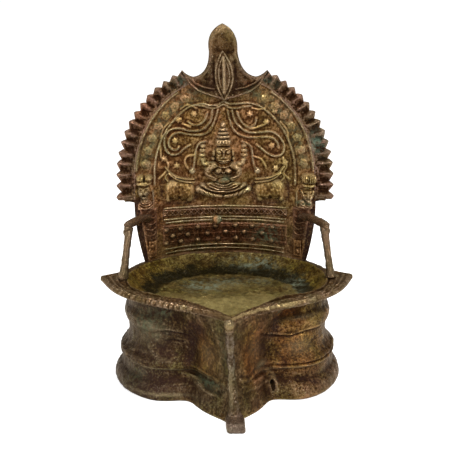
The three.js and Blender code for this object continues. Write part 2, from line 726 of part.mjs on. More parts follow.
// Seated figure with a tall ringed crown, four arms and crossed legs
function goddess() {
  const forms = [
    ellipsoid([0, 1.6, 137.2], [1.9, 1.8, 2.9], 6, 4),
    ellipsoid([0, 1.4, 133.6], [2.6, 2, 2.2], 6, 4),
    ellipsoid([0, 1.4, 130.6], [3.2, 2.3, 2], 6, 4),
    ellipsoid([0, 1.4, 127.6], [3.7, 2.6, 2], 6, 4),
    ellipsoid([0, 1.8, 120.6], [4.6, 3.4, 5.4], 8, 6),
    ellipsoid([0, 1.2, 112.6], [6.8, 2.6, 5.4], 8, 5),
    ellipsoid([-2.6, 3.2, 111.8], [2.1, 1.9, 2.1], 6, 4),
    ellipsoid([2.6, 3.2, 111.8], [2.1, 1.9, 2.1], 6, 4),
    ellipsoid([0, 1.6, 105.2], [6.2, 3, 4.6], 8, 5),
    ellipsoid([0, 0.8, 99.6], [12.4, 2.6, 4.6], 10, 5),
  ];
  for (const side of [-1, 1]) {
    forms.push(
      wire(mirrored([[5.4, 114], [8.6, 112], [10.2, 107], [8.6, 102.4], [5.6, 99.4]], side), 1.7, 5, 1.6),
      wire(mirrored([[6, 114.6], [10.6, 113.6], [12, 117.4], [11.8, 121]], side), 1.2, 4, 1.3),
      ellipsoid([side * 11.7, 1.2, 122.4], [1.9, 1.5, 2.5], 6, 4),
      wire(mirrored([[15, 98.6], [11, 96], [6, 94.2], [1.6, 93.8]], side), 2, 4, 1.8),
      ellipsoid([side * 14.4, 1.4, 98.6], [2.8, 2.2, 2.4], 6, 4),
      ellipsoid([side * 3, 2.2, 93.4], [2, 1.4, 1.3], 6, 4),
    );
  }
  return laid(fitted(relief(forms)));
}

function elephant(side) {
  const place = ([x, z]) => [side * x, z];
  const forms = [
    ellipsoid([side * 25.4, 1, 98.8], [7, 3, 5.8], 8, 6),
    ellipsoid([side * 31.4, 1.4, 102.6], [4, 2.8, 4.4], 8, 6),
    ellipsoid([side * 33.6, 1.2, 99.6], [1.8, 2, 3.2], 6, 4),
    wire([place([21.2, 98]), place([20.8, 92.4])], 1.9, 1, 1.6),
    wire([place([29.4, 98]), place([29.6, 92.4])], 1.9, 1, 1.6),
    wire([[33, 106], [32, 110.6], [28.4, 109], [23.4, 105.4], [19, 104.6]].map(place), 1, 7, 1.2),
    wire([[30, 105], [26, 103.4], [22.4, 102.4], [19, 103.6]].map(place), 0.9, 6, 2.2),
  ];
  return laid(fitted(relief(forms)));
}

// Attendant's head with its headdress, over collar and shoulders, on the side of the plate
function attendant(side) {
  const x = side * rosetteArch.halfWidth;
  const half = archBandRoom / 2;
  const shoulders = new THREE.Shape();
  shoulders.moveTo(x - half, pilasterTop + slotGap);
  shoulders.lineTo(x + half, pilasterTop + slotGap);
  shoulders.quadraticCurveTo(x + half, 93, x + half / 2, 94.8);
  shoulders.lineTo(x - half / 2, 94.8);
  shoulders.quadraticCurveTo(x - half, 93, x - half, pilasterTop + slotGap);
  const forms = relief([
    raised(shoulders, seatGap, 2.2),
    ellipsoid([x, 2, 97.6], [0.75 * half, 3, 4.4], 8, 5),
    ellipsoid([x, 2, 105.2], [half + 0.3, 3.2, 4.4], 8, 5),
    wire([[x - half + 0.4, 101.2], [x + half - 0.4, 101.2]], 1, 1, 3.2),
    wire([[x - half + 0.8, 92], [x + half - 0.8, 92]], 0.7, 1, 2.2),
  ]);
  return laid(supple(forms, 7));
}

// Tapered strip down the side of the plate with a square plaque near its base
function pilaster(side) {
  const span = (inner, outer) => (side > 0 ? [inner, outer] : [-outer, -inner]);
  const foot = span(40.6, 45.6);
  const strip = panel(foot, span(41, 50.8), [rimTop + 0.6, pilasterTop], pilasterThickness, 2, 7);
  const plaque = panel(span(40.8, 45.4), span(40.8, 45.8), [63.2, 69.2], 2.1, 2, 2);
  return shaped(joined([laid(strip), laid(plaque)]));
}

function level(z, halfWidth, radius, steps = 12) {
  const points = [];
  for (let i = 0; i <= 4; i += 1) points.push([halfWidth * (i / 2 - 1), z]);
  return laid(wire(points, radius, steps));
}

function throneStrip(low, high) {
  const span = [-throneHalfWidth, throneHalfWidth];
  return laid(panel(span, span, [low, high], 1, 12, 2));
}

// Flat bar that slants from one point of the plate to another
function slantBar([x0, z0], [x1, z1]) {
  const width = 0.9;
  const shape = new THREE.Shape();
  shape.moveTo(x0, z0);
  shape.lineTo(x0 + width, z0);
  shape.lineTo(x1 + width, z1);
  shape.lineTo(x1, z1);
  return laid(raised(shape, 0.6, 1.4));
}

// Band of crossed lines between two edges
function hatchBand() {
  const low = throneTop - 1.4 - hatchHeight;
  const crossings = 9;
  const step = 5.6;
  const bars = [];
  for (let i = 0; i < crossings; i += 1) {
    const left = (i - crossings / 2) * step;
    const right = left + step - 1.4;
    const [bottom, top] = [low + 0.5, low + hatchHeight - 0.5];
    bars.push(slantBar([left, bottom], [right, top]), slantBar([left, top], [right, bottom]));
  }
  return shaped(joined([throneStrip(low, low + hatchHeight), ...bars]));
}

// Sheet with three staggered rows of beads
function beadPanel() {
  const rows = [
    { share: 0.82, first: -3.25, count: 7 },
    { share: 0.52, first: -2.75, count: 6 },
    { share: 0.2, first: -3.25, count: 7 },
  ];
  const height = (share) => THREE.MathUtils.lerp(beadPanelFoot, beadPanelTop, share);
  const beads = rows.flatMap(({ share, first, count }) => Array.from({ length: count }, (_, i) => (
    laid(ellipsoid([(first + i) * beadPitch, 1.2, height(share)], [beadRadius, 0.85, beadRadius], 6, 3))
  )));
  return shaped(joined([throneStrip(beadPanelFoot, beadPanelTop), ...beads]));
}

// The boss lies over the lower throne wire and the edge of the bead panel.
function boss() {
  const under = seatGap + 2 * throneWireRadius + seatGap;
  const middle = [-4, under, throneTop - throneWireDrop - 1.2];
  return laid(relief([ellipsoid(middle, [bossRadius, 2.2, bossRadius], 10, 8)], under));
}

function strutSection(width, depth) {
  const [w, d, cut] = [width / 2, depth / 2, 1.3];
  const section = new THREE.Shape();
  const corners = [[w, d - cut], [w - cut, d], [cut - w, d], [-w, d - cut],
    [-w, cut - d], [cut - w, -d], [w - cut, -d], [w, cut - d]];
  section.setFromPoints(corners.map(([x, y]) => new THREE.Vector2(x, y)));
  return section;
}

function strut(points, section, steps) {
  const path = new THREE.CatmullRomCurve3(points);
  return new THREE.ExtrudeGeometry(section, { steps, extrudePath: path, bevelEnabled: false });
}

function armStrut(side, grow) {
  return strut(armPath(side), strutSection(armThickness + 2 * grow, armThickness + 2 * grow), 6);
}

function armPath(side) {
  const over = new THREE.Vector3(side * (postTop.x + 1.6), postTop.y - 4, postTop.z - 0.6);
  const start = new THREE.Vector3(side * postTop.x, postTop.y, postTop.z);
  const end = new THREE.Vector3(side * armEnd.x, armEnd.y, armEnd.z);
  const mid = start.clone().lerp(end, 0.5).add(new THREE.Vector3(0, 0, 0.8));
  return [over, start, mid, end];
}

// The post stands on the rim beside the leaf point and is coped to fit under the arm.
function post(side) {
  const below = new THREE.Vector3(side * postBase.x, postBase.y - 1, postBase.z - 4);
  const base = new THREE.Vector3(side * postBase.x, postBase.y, postBase.z);
  const top = new THREE.Vector3(side * postTop.x, postTop.y, postTop.z);
  const middle = base.clone().lerp(top, 0.5);
  middle.y -= 0.8;
  const nub = ellipsoid([side * (postTop.x + 2), -postTop.y + 0.6, postTop.z - 5], [2.2, 2.2, 2.4], 8, 6);
  const floor = box([-90, 90], [-90, 90], [0, rimTop]);
  const bar = strut([below, base, middle, top], strutSection(strutWidth, strutDepth), 8);
  return shaped(joined([bar, nub]).subtract(solid(floor)).subtract(solid(armStrut(side, slotGap))));
}

function arm(side) {
  const span = side > 0 ? [30, 62] : [-62, -30];
  const wall = supple(box(span, [-pilasterThickness - seatGap, 8], [74, 96]), 5);
  return shaped(solid(armStrut(side, 0)).subtract(solid(laid(wall))));
}

const lamp = new THREE.Group();

function add(name, geometry, finish) {
  const mesh = new THREE.Mesh(geometry, material(finish));
  mesh.name = name;
  lamp.add(mesh);
}

add("pedestal", shaped(pedestal()), brass.body);
add("oil_bowl", oilBowl(), brass.bowl);
add("keel_rib", shaped(keelRib()), brass.rim);
add("back_plate", backPlate(), brass.plate);
add("hood_finial", hoodFinial(), brass.figure);
add("eye_leaf", eyeLeaf(), brass.wire);
add("inner_arch_wire", innerArchWire(), brass.wire);
add("goddess", goddess(), brass.figure);
add("throne_top_wire", level(throneTop, throneHalfWidth, throneWireRadius), brass.wire);
add("hatch_band", hatchBand(), brass.dark);
add("throne_wire_upper", level(throneTop - throneWireDrop, throneHalfWidth, throneWireRadius), brass.wire);
add("bead_panel", beadPanel(), brass.dark);
add("throne_boss", boss(), brass.figure);
for (const [i, word] of ["upper", "lower"].entries()) {
  add(`foot_wire_${word}`, level(footWireHeights[i], throneHalfWidth - 1, throneWireRadius), brass.wire);
}

for (const [side, word] of [[-1, "left"], [1, "right"]]) {
  add(`flame_border_${word}`, flameBorder(side), brass.border);
  add(`outer_arch_wire_${word}`, halfArchWire(side), brass.wire);
  add(`scroll_outer_${word}`, scroll(scrollOuterLine, side, 30), brass.wire);
  add(`scroll_inner_${word}`, scroll(scrollInnerLine, side, 24), brass.wire);
  add(`scroll_curl_${word}`, scroll(curlLine, side, 12), brass.wire);
  add(`halo_wire_${word}`, haloWire(side), brass.wire);
  add(`elephant_${word}`, elephant(side), brass.figure);
  add(`attendant_${word}`, attendant(side), brass.figure);
  add(`pilaster_${word}`, pilaster(side), brass.dark);
  add(`post_${word}`, post(side), brass.rim);
  add(`arm_${word}`, arm(side), brass.rim);
  for (let place = 0; place < rosetteCount; place += 1) {
    add(`rosette_${word}_${place + 1}`, rosette(side, place), brass.figure);
  }
}

// The frame's origin lies under the middle of the lamp's box.
lamp.position.y = (toeReach - footRadius) / 2;

export default lamp;
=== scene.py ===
import bpy
import math
import numpy as np
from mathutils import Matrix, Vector


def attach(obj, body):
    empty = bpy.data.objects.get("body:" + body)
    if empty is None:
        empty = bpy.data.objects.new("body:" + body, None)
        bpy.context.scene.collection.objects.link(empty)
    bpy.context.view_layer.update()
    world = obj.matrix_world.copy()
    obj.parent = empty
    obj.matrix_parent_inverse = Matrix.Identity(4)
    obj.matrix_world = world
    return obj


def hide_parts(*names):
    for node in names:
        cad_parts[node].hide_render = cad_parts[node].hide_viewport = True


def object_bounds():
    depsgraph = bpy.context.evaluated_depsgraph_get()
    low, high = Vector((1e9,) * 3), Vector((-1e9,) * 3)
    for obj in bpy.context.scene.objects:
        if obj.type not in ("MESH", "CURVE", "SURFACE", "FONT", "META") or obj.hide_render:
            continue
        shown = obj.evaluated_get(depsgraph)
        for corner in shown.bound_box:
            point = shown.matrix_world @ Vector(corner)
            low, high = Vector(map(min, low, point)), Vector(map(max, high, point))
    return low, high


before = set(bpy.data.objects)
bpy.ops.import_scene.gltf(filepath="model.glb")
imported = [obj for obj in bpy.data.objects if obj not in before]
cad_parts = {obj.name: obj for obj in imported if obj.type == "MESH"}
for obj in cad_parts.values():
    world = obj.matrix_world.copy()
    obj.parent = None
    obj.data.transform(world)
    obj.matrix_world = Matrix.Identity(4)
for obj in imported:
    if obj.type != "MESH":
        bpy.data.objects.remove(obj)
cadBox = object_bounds()
scene = bpy.context.scene

# Sizes below are millimetres from the lamp's axis and the floor. place() turns them into the frame.
axisShift = 15.15
millimetres = 1000  # in a metre
cadLow, cadHigh = (np.array(corner) * millimetres for corner in cadBox)
degree = math.pi / 180
fullTurn = 2 * math.pi
sides = ((-1, "left"), (1, "right"))


def place(points):  # moves the axis to its place and keeps each point inside the model's box
    moved = np.array(points, dtype=float)
    moved[..., 1] += axisShift
    return np.clip(moved, cadLow, cadHigh) / millimetres


def mix(low, high, share):  # straight from low to high
    return low + (high - low) * share


def smoothStep(value, low, high):  # 3t^2 - 2t^3 between the two limits
    t = np.clip((value - low) / (high - low), 0, 1)
    return t * t * (3 - 2 * t)


def hill(value, centre, width):  # bell curve of height 1
    return np.exp(-((value - centre) / width) ** 2)


def unevenness(points, wave, seed):  # sum of sixteen sine waves in fixed directions, about -1 to 1
    random = np.random.RandomState(seed)
    total = np.zeros(points.shape[:-1])
    for turn in range(16):
        direction = random.normal(size=3)
        direction *= random.uniform(0.6, 1.8) / (np.linalg.norm(direction) * wave)
        total += np.sin(fullTurn * (points @ direction) + random.uniform(0, 6.28))
    return total / 5.3


def castBumps(x, z, wave, seed):  # unevenness over the plate's (x, z), the same at every depth
    return unevenness(np.stack([x, x * 0, z], -1), wave, seed)


def curveThrough(points, count):  # smooth cubic curve through the points, at even steps of length
    knots = np.array(points, dtype=float)
    knots = np.vstack([2 * knots[0] - knots[1], knots, 2 * knots[-1] - knots[-2]])
    fine = np.linspace(0, len(points) - 1, 24 * len(points), endpoint=False)
    i = fine.astype(int)
    t = (fine - i)[:, None]
    a, b, c, d = knots[i], knots[i + 1], knots[i + 2], knots[i + 3]
    curve = 2 * b + (c - a) * t + (2 * a - 5 * b + 4 * c - d) * t ** 2 + (3 * b - a - 3 * c + d) * t ** 3
    curve = np.vstack([0.5 * curve, knots[-2]])
    length = np.concatenate([[0], np.cumsum(np.linalg.norm(np.diff(curve, axis=0), axis=1))])
    even = np.linspace(0, length[-1], count)
    return np.stack([np.interp(even, length, curve[:, k]) for k in range(curve.shape[1])], axis=1)


def bendPoints(start, control, end, count):  # quadratic curve from start to end
    t = np.linspace(0, 1, count)[:, None]
    start, control, end = (np.array(p, dtype=float) for p in (start, control, end))
    return (1 - t) ** 2 * start + 2 * t * (1 - t) * control + t ** 2 * end


def headings(curve):  # unit steps along a curve
    along = np.gradient(curve, axis=0)
    return along / (np.linalg.norm(along, axis=1)[:, None] + 1e-9)


def roundedSquare(count, power):  # cosine, sine and the reach that turns a circle into |x|^p + |y|^p = 1
    turn = np.arange(count) * fullTurn / count
    c, s = np.cos(turn), np.sin(turn)
    return c, s, (np.abs(c) ** power + np.abs(s) ** power) ** (-1 / power)


# Share of the way along a straight line where each point lies nearest, and its distance
def nearestOn(x, z, start, end):
    (ax, az), (bx, bz) = start, end
    dx, dz = bx - ax, bz - az
    t = np.clip(((x - ax) * dx + (z - az) * dz) / (dx * dx + dz * dz + 1e-12), 0, 1)
    return t, np.hypot(x - ax - t * dx, z - az - t * dz)


def gridFaces(rows, columns, around=True):  # squares between neighbouring rows, closed round the columns
    last = columns if around else columns - 1
    i, j = np.meshgrid(np.arange(rows - 1), np.arange(last), indexing="ij")
    k = (j + 1) % columns
    squares = [i * columns + j, i * columns + k, (i + 1) * columns + k, (i + 1) * columns + j]
    return np.stack(squares, -1).reshape(-1, 4)


def closedTube(rings):  # rings of points joined in order, with both ends closed at their middles
    rows, columns = rings.shape[:2]
    points = np.vstack([rings.reshape(-1, 3), rings[0].mean(0), rings[-1].mean(0)])
    mantle = gridFaces(rows, columns)
    j = np.arange(columns)
    k = (j + 1) % columns
    first = rows * columns
    low = np.stack([np.full(columns, first), k, j, np.full(columns, -1)], -1)
    base = (rows - 1) * columns
    high = np.stack([np.full(columns, first + 1), base + j, base + k, np.full(columns, -1)], -1)
    return points, np.vstack([mantle, low, high])


def closedRing(rings):  # rings joined in order and back to the first
    rows, columns = rings.shape[:2]
    points = rings.reshape(-1, 3)
    faces = gridFaces(rows + 1, columns) % (rows * columns)
    return points, faces


# Two grids closed round the edge, the back one with a point at every so many of the front's
def slab(front, back, every=1):
    count = front.shape[0] * front.shape[1]
    points = np.vstack([front.reshape(-1, 3), back.reshape(-1, 3)])
    backFaces = gridFaces(*back.shape[:2], around=False)[:, ::-1] + count
    faces = [gridFaces(*front.shape[:2], around=False), backFaces]
    rims = []
    for first, shape in ((0, front.shape[:2]), (count, back.shape[:2])):
        number = first + np.arange(shape[0] * shape[1]).reshape(shape)
        rims.append(np.concatenate([number[0, :-1], number[:-1, -1], number[-1, :0:-1], number[:0:-1, 0]]))
    edge = rims[0]
    behind = rims[1][(np.arange(len(edge)) + every // 2) // every % len(rims[1])]
    after = np.roll(behind, -1)
    faces.append(np.stack([np.roll(edge, -1), edge, behind, np.where(after == behind, -1, after)], -1))
    return points, np.vstack(faces)


def joinShells(shells):  # puts several closed shells in one mesh
    points, faces, start = [], [], 0
    for shellPoints, shellFaces in shells:
        facing = outward(shellPoints, shellFaces)
        points.append(shellPoints)
        faces.append(np.where(facing >= 0, facing + start, -1))
        start += len(shellPoints)
    return np.vstack(points), np.vstack(faces)


def corners(points, faces):  # the first three corners and the fourth, which repeats the third in a triangle
    fourth = np.where(faces[:, 3] < 0, faces[:, 2], faces[:, 3])
    return points[faces[:, 0]], points[faces[:, 1]], points[faces[:, 2]], points[fourth]


def outward(points, faces):  # turns the faces round if the shell's signed volume is negative
    a, b, c, d = corners(points, faces)
    volume = np.einsum("ij,ij->i", a, np.cross(b, c)).sum() + np.einsum("ij,ij->i", a, np.cross(c, d)).sum()
    if volume >= 0:
        return faces
    flipped = faces[:, [2, 1, 0, 3]]
    square = faces[:, 3] >= 0
    flipped[square] = faces[square][:, ::-1]
    return flipped


def vertexNormals(points, faces):  # sum of the crossed diagonals of the faces round each point, made one long
    a, b, c, d = corners(points, faces)
    across = np.cross(c - a, d - b)
    triangle = faces[:, 3] < 0
    across[triangle] = np.cross(b - a, c - a)[triangle]
    normals = np.zeros_like(points)
    for k in range(3):
        for corner in range(4):
            used = faces[:, corner] >= 0
            normals[:, k] += np.bincount(faces[used, corner], across[used, k], len(points))
    return normals / (np.linalg.norm(normals, axis=1)[:, None] + 1e-12)


def polygons(faces):  # lists of three or four corners
    return [face[:3] if face[3] < 0 else face for face in faces.tolist()]


def edgePairs(faces):  # (from, to) along every side of every face
    square = faces[faces[:, 3] >= 0]
    triangle = faces[faces[:, 3] < 0]
    pairs = [square[:, [k, (k + 1) % 4]] for k in range(4)]
    pairs += [triangle[:, [k, (k + 1) % 3]] for k in range(3)]
    return np.vstack(pairs)


def standOut(points, faces, normals, reach):  # how far each point stands out from its surroundings, in mm
    pairs = edgePairs(faces)
    count = np.bincount(pairs[:, 0], minlength=len(points)) + 1e-9
    step = np.linalg.norm(points[pairs[:, 0]] - points[pairs[:, 1]], axis=1).mean()
    rounds = int(np.clip((reach / step) ** 2, 1, 60))
    smooth = points.copy()
    for turn in range(rounds):
        total = np.stack([np.bincount(pairs[:, 0], smooth[pairs[:, 1], k], len(points)) for k in range(3)], 1)
        smooth = 0.4 * smooth + 0.6 * total / count[:, None]
    return np.einsum("ij,ij->i", points - smooth, normals)


# Turns the shell outward, writes its colour values and sets it on its solid
def addPiece(name, shell, material, nodes, wearReach=1.2, paint=None, sharp=55, roughness=0.0):
    points, faces = shell
    faces = outward(points, faces)
    normals = vertexNormals(points, faces)
    if roughness:
        points = points + normals * (roughness * unevenness(points, 2.6, len(name)))[:, None]
    fine = standOut(points, faces, normals, wearReach)
    broad = standOut(points, faces, normals, 3 * wearReach)
    mesh = bpy.data.meshes.new(name)
    mesh.from_pydata(place(points).tolist(), [], polygons(faces))
    mesh.validate()
    mesh.shade_smooth()
    mesh.set_sharp_from_angle(angle=sharp * degree)
    values = {word: np.zeros(len(points)) for word in ("green", "stain", "gold", "copper", "pale")}
    values["wear"] = np.clip(fine * 2.2 + broad * 0.8, -0.9, 0.7)
    if paint:
        values.update(paint(*points.T))
    values["wear"] = values["wear"] * values.pop("rubbed", 1.0)  # share of the wear, with its rubbed and lit look, that stays
    for word, value in values.items():
        layer = mesh.attributes.new(word, "FLOAT", "POINT")
        layer.data.foreach_set("value", np.full(len(points), value, dtype=np.float32))
    mesh.materials.append(material)
    piece = bpy.data.objects.new(name, mesh)
    scene.collection.objects.link(piece)
    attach(piece, "root")
    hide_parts(*nodes)
    return piece


def mathNode(tree, operation, *values):  # Math node fed with numbers or sockets
    node = tree.nodes.new("ShaderNodeMath")
    node.operation = operation
    for socket, value in zip(node.inputs, values):
        if isinstance(value, (int, float)):
            socket.default_value = value
        else:
            tree.links.new(value, socket)
    return node.outputs[0]


# What a finish has unless its own entry in looks says otherwise
plainLook = {"warm": 0.35, "olive": 0.6, "speckle": 0.8, "pits": 0.55, "blotchGain": 1.3, "grainGain": 1.3,
             "wearGain": 0.8, "level": 0.46, "paintedGlint": 0.5, "rough": 0.6, "bump": 0.9,
             "stain": (0.026, 0.011, 0.008), "pale": (0.34, 0.27, 0.15), "verdigris": (0.11, 0.14, 0.08)}
noiseScale = {"blotch": 130, "grain": 800, "fine": 1300, "pits": 560, "patch": 30, "olive": 75,
              "paintedGlint": 1700, "crust": 420}


# Aged brass: dark patina in the hollows, rubbed metal on what stands out, stains, painted shade and verdigris
# by attribute, and painted glints.
def agedBrass(name, own):
    look = {**plainLook, **own}
    material = bpy.data.materials.new(name)
    material.use_nodes = True
    nodes, links = material.node_tree.nodes, material.node_tree.links
    shader = nodes["Principled BSDF"]
    shader.inputs["Metallic"].default_value = look["metal"]
    shader.inputs["Specular IOR Level"].default_value = 0.12
    shader.inputs["Specular Tint"].default_value = (0.95, 0.78, 0.55, 1)
    place3d = nodes.new("ShaderNodeTexCoord").outputs["Object"]

    def noise(word, detail, rough=0.55):  # noise over the object's own coordinates
        texture = nodes.new("ShaderNodeTexNoise")
        texture.inputs["Scale"].default_value = noiseScale[word]
        texture.inputs["Detail"].default_value = detail
        texture.inputs["Roughness"].default_value = rough
        links.new(place3d, texture.inputs["Vector"])
        return texture.outputs["Fac"]

    def attribute(word):  # what the paint function of the piece wrote
        node = nodes.new("ShaderNodeAttribute")
        node.attribute_name = word
        return node.outputs["Fac"]

    def calculate(operation, *values):  # Math node in this material
        return mathNode(material.node_tree, operation, *values)

    def blendColour(share, low, high, kind="MIX"):  # from low to high by the share
        node = nodes.new("ShaderNodeMix")
        node.data_type = "RGBA"
        node.blend_type = kind
        for socket, value in ((node.inputs[0], share), (node.inputs[6], low), (node.inputs[7], high)):
            if isinstance(value, float):
                socket.default_value = value
            elif isinstance(value, tuple):
                socket.default_value = (*value, 1)
            else:
                links.new(value, socket)
        return node.outputs[2]

    def ramp(value, stops):  # colour by value, straight between the stops
        node = nodes.new("ShaderNodeValToRGB")
        links.new(value, node.inputs[0])
        marks = node.color_ramp.elements
        while len(marks) < len(stops):
            marks.new(0.5)
        for mark, (position, colour) in zip(marks, stops):
            mark.position = position
            mark.color = (*colour, 1)
        return node.outputs["Color"]

    blotch, grain, fine = noise("blotch", 6, 0.65), noise("grain", 5, 0.7), noise("fine", 4, 0.75)
    lifted = calculate("MULTIPLY_ADD", attribute("wear"), look["wearGain"], look["level"])
    lifted = calculate("MULTIPLY_ADD", calculate("SUBTRACT", blotch, 0.5), look["blotchGain"], lifted)
    lifted = calculate("MULTIPLY_ADD", calculate("SUBTRACT", grain, 0.5), look["grainGain"], lifted)
    base = np.array(look["base"])
    shades = [(0.1, (0.24, 0.16, 0.09)), (0.3, (0.46, 0.38, 0.29)), (0.43, (0.72, 0.67, 0.6)),
              (0.57, (1.1, 1.08, 1.05)), (0.74, (1.7, 1.8, 2.05)), (0.95, (2.75, 3.15, 4.3))]
    colour = ramp(lifted, [(position, tuple(map(float, base * shade))) for position, shade in shades])
    speckle = ramp(fine, [(0.34, (0.3, 0.21, 0.15)), (0.5, (0.72, 0.69, 0.64)), (0.66, (1.1, 1.1, 1.1))])
    colour = blendColour(look["speckle"], colour, speckle, "MULTIPLY")
    cells = nodes.new("ShaderNodeTexVoronoi")
    cells.inputs["Scale"].default_value = noiseScale["pits"]
    links.new(place3d, cells.inputs["Vector"])
    pits = ramp(cells.outputs["Distance"], [(0.14, (0.16, 0.1, 0.06)), (0.42, (1, 1, 1))])
    colour = blendColour(look["pits"], colour, pits, "MULTIPLY")
    patch = ramp(noise("patch", 4), [(0.42, (0, 0, 0)), (0.66, (1, 1, 1))])
    redder = calculate("MULTIPLY_ADD", patch, look["warm"], attribute("copper"))
    olive = calculate("MULTIPLY", ramp(noise("olive", 4), [(0.45, (0, 0, 0)), (0.62, (1, 1, 1))]),
                      look["olive"])
    for share, tint in ((redder, (1.28, 0.84, 0.7)), (olive, (0.84, 1.02, 0.74)),
                        (attribute("gold"), (1.5, 1.32, 0.78))):
        tinted = nodes.new("ShaderNodeVectorMath")
        tinted.operation = "MULTIPLY"
        links.new(colour, tinted.inputs[0])
        tinted.inputs[1].default_value = tint
        colour = blendColour(share, colour, tinted.outputs[0])
    # Darkened by the stain attribute: real stains, and painted shade where a piece's paint puts it
    spots = ramp(grain, [(0.4, (1, 1, 1)), (0.62, (0.35,) * 3)])
    colour = blendColour(calculate("MULTIPLY", attribute("stain"), spots), colour, look["stain"])
    pale = blendColour(0.7, look["pale"], speckle, "MULTIPLY")
    colour = blendColour(attribute("pale"), colour, pale)
    # Painted glints: small bright spots of colour standing in for highlights
    paintedGlint = calculate("MULTIPLY", ramp(noise("paintedGlint", 2), [(0.62, (0, 0, 0)), (0.72, (1, 1, 1))]),
                      look["paintedGlint"])
    colour = blendColour(calculate("MULTIPLY", paintedGlint, lifted), colour, (0.5, 0.43, 0.3))
    crust = ramp(noise("crust", 4), [(0.4, (0, 0, 0)), (0.58, (1, 1, 1))])
    colour = blendColour(calculate("MULTIPLY", attribute("green"), crust), colour, look["verdigris"])
    links.new(colour, shader.inputs["Base Color"])
    gloss = calculate("MULTIPLY_ADD", lifted, -0.3, look["rough"])
    links.new(calculate("MULTIPLY_ADD", fine, -0.2, gloss), shader.inputs["Roughness"])
    bump = nodes.new("ShaderNodeBump")
    bump.inputs["Strength"].default_value = look["bump"]
    bump.inputs["Distance"].default_value = 0.0007
    links.new(calculate("MULTIPLY_ADD", grain, 0.7, calculate("MULTIPLY", fine, 0.35)), bump.inputs["Height"])
    links.new(bump.outputs["Normal"], shader.inputs["Normal"])
    return material


# Finishes, each with what differs from the plain values
looks = {
    "body": {"metal": 0.45, "base": (0.125, 0.083, 0.038), "warm": 0.2, "pits": 0.85, "blotchGain": 1.3,
             "grainGain": 1.9, "speckle": 1.0, "olive": 1.0, "bump": 1.0},
    "rim": {"metal": 0.65, "base": (0.17, 0.118, 0.062), "warm": 0.2, "pale": (0.44, 0.34, 0.17),
            "blotchGain": 1.2, "speckle": 1.0, "rough": 0.55},
    "bowl": {"metal": 0.3, "base": (0.165, 0.12, 0.036), "pits": 0.4, "warm": 0.1, "blotchGain": 1.3,
             "speckle": 0.9, "bump": 1.0, "verdigris": (0.2, 0.225, 0.15), "pale": (0.37, 0.3, 0.115),
             "stain": (0.01, 0.0075, 0.002), "grainGain": 1.8},
    "plate": {"metal": 0.5, "base": (0.22, 0.132, 0.059), "blotchGain": 1.0, "speckle": 0.8, "warm": 0.3,
              "olive": 0.8},
    "border": {"metal": 0.55, "verdigris": (0.14, 0.2, 0.14), "base": (0.1, 0.062, 0.037), "warm": 0.3,
               "wearGain": 1.7, "speckle": 0.9},
    "wire": {"metal": 0.6, "base": (0.192, 0.13, 0.058), "warm": 0.2, "rough": 0.5, "olive": 0.5,
             "grainGain": 1.8},
    "figure": {"metal": 0.6, "base": (0.185, 0.126, 0.06), "warm": 0.25, "wearGain": 1.1, "rough": 0.52},
    "beast": {"metal": 0.55, "base": (0.165, 0.105, 0.042), "warm": 0.2, "blotchGain": 0.9, "speckle": 0.6,
              "pits": 0.25, "wearGain": 1.3, "rough": 0.5, "olive": 0.5},
    "hood": {"metal": 0.55, "base": (0.072, 0.046, 0.022), "warm": 0.2, "wearGain": 1.1},
    "dark": {"metal": 0.5, "base": (0.12, 0.064, 0.03), "wearGain": 1.1, "speckle": 1.0},
    "strut": {"metal": 0.6, "base": (0.075, 0.054, 0.032), "warm": 0.3, "wearGain": 1.0, "speckle": 0.9},
    "post": {"metal": 0.65, "base": (0.07, 0.046, 0.022), "warm": 0.3, "wearGain": 1.3, "speckle": 0.9},
}
brass = {word: agedBrass(word + "Brass", look) for word, look in looks.items()}


# Camera, at the photograph's angle
view = {"target": (-1.34, 13.15, 88.96), "azimuth": -1.69 * degree, "elevation": 13.68 * degree,
        "distance": 800, "lens": 112.63, "sensor": 36, "near": 0.05}
camera = bpy.data.objects.new("camera", bpy.data.cameras.new("camera"))
scene.collection.objects.link(camera)
scene.camera = camera
camera.data.lens = view["lens"]
camera.data.sensor_width = view["sensor"]
away = Vector((math.sin(view["azimuth"]) * math.cos(view["elevation"]),
               -math.cos(view["azimuth"]) * math.cos(view["elevation"]), math.sin(view["elevation"])))
camera.location = (Vector(view["target"]) + away * view["distance"]) / millimetres
camera.rotation_euler = (-away).to_track_quat("-Z", "Y").to_euler()
camera.data.clip_start = view["near"]
scene.view_settings.view_transform = "Standard"


# Stage, in metres and watts: each light has its place, size and power
stage = {"half": 4, "gap": 0.0002, "glow": 0.75, "dark": 0.05, "worldLow": 0.3, "worldHigh": 1.0,
         "aim": (0, 0, 0.08),
         "lights": {"keyLight": ((0.35, -0.8, 1.0), 0.28, 15), "fillLight": ((-0.9, -0.6, 0.6), 0.5, 4.5),
                    "topLight": ((0.0, 0.25, 1.2), 0.5, 5)}}


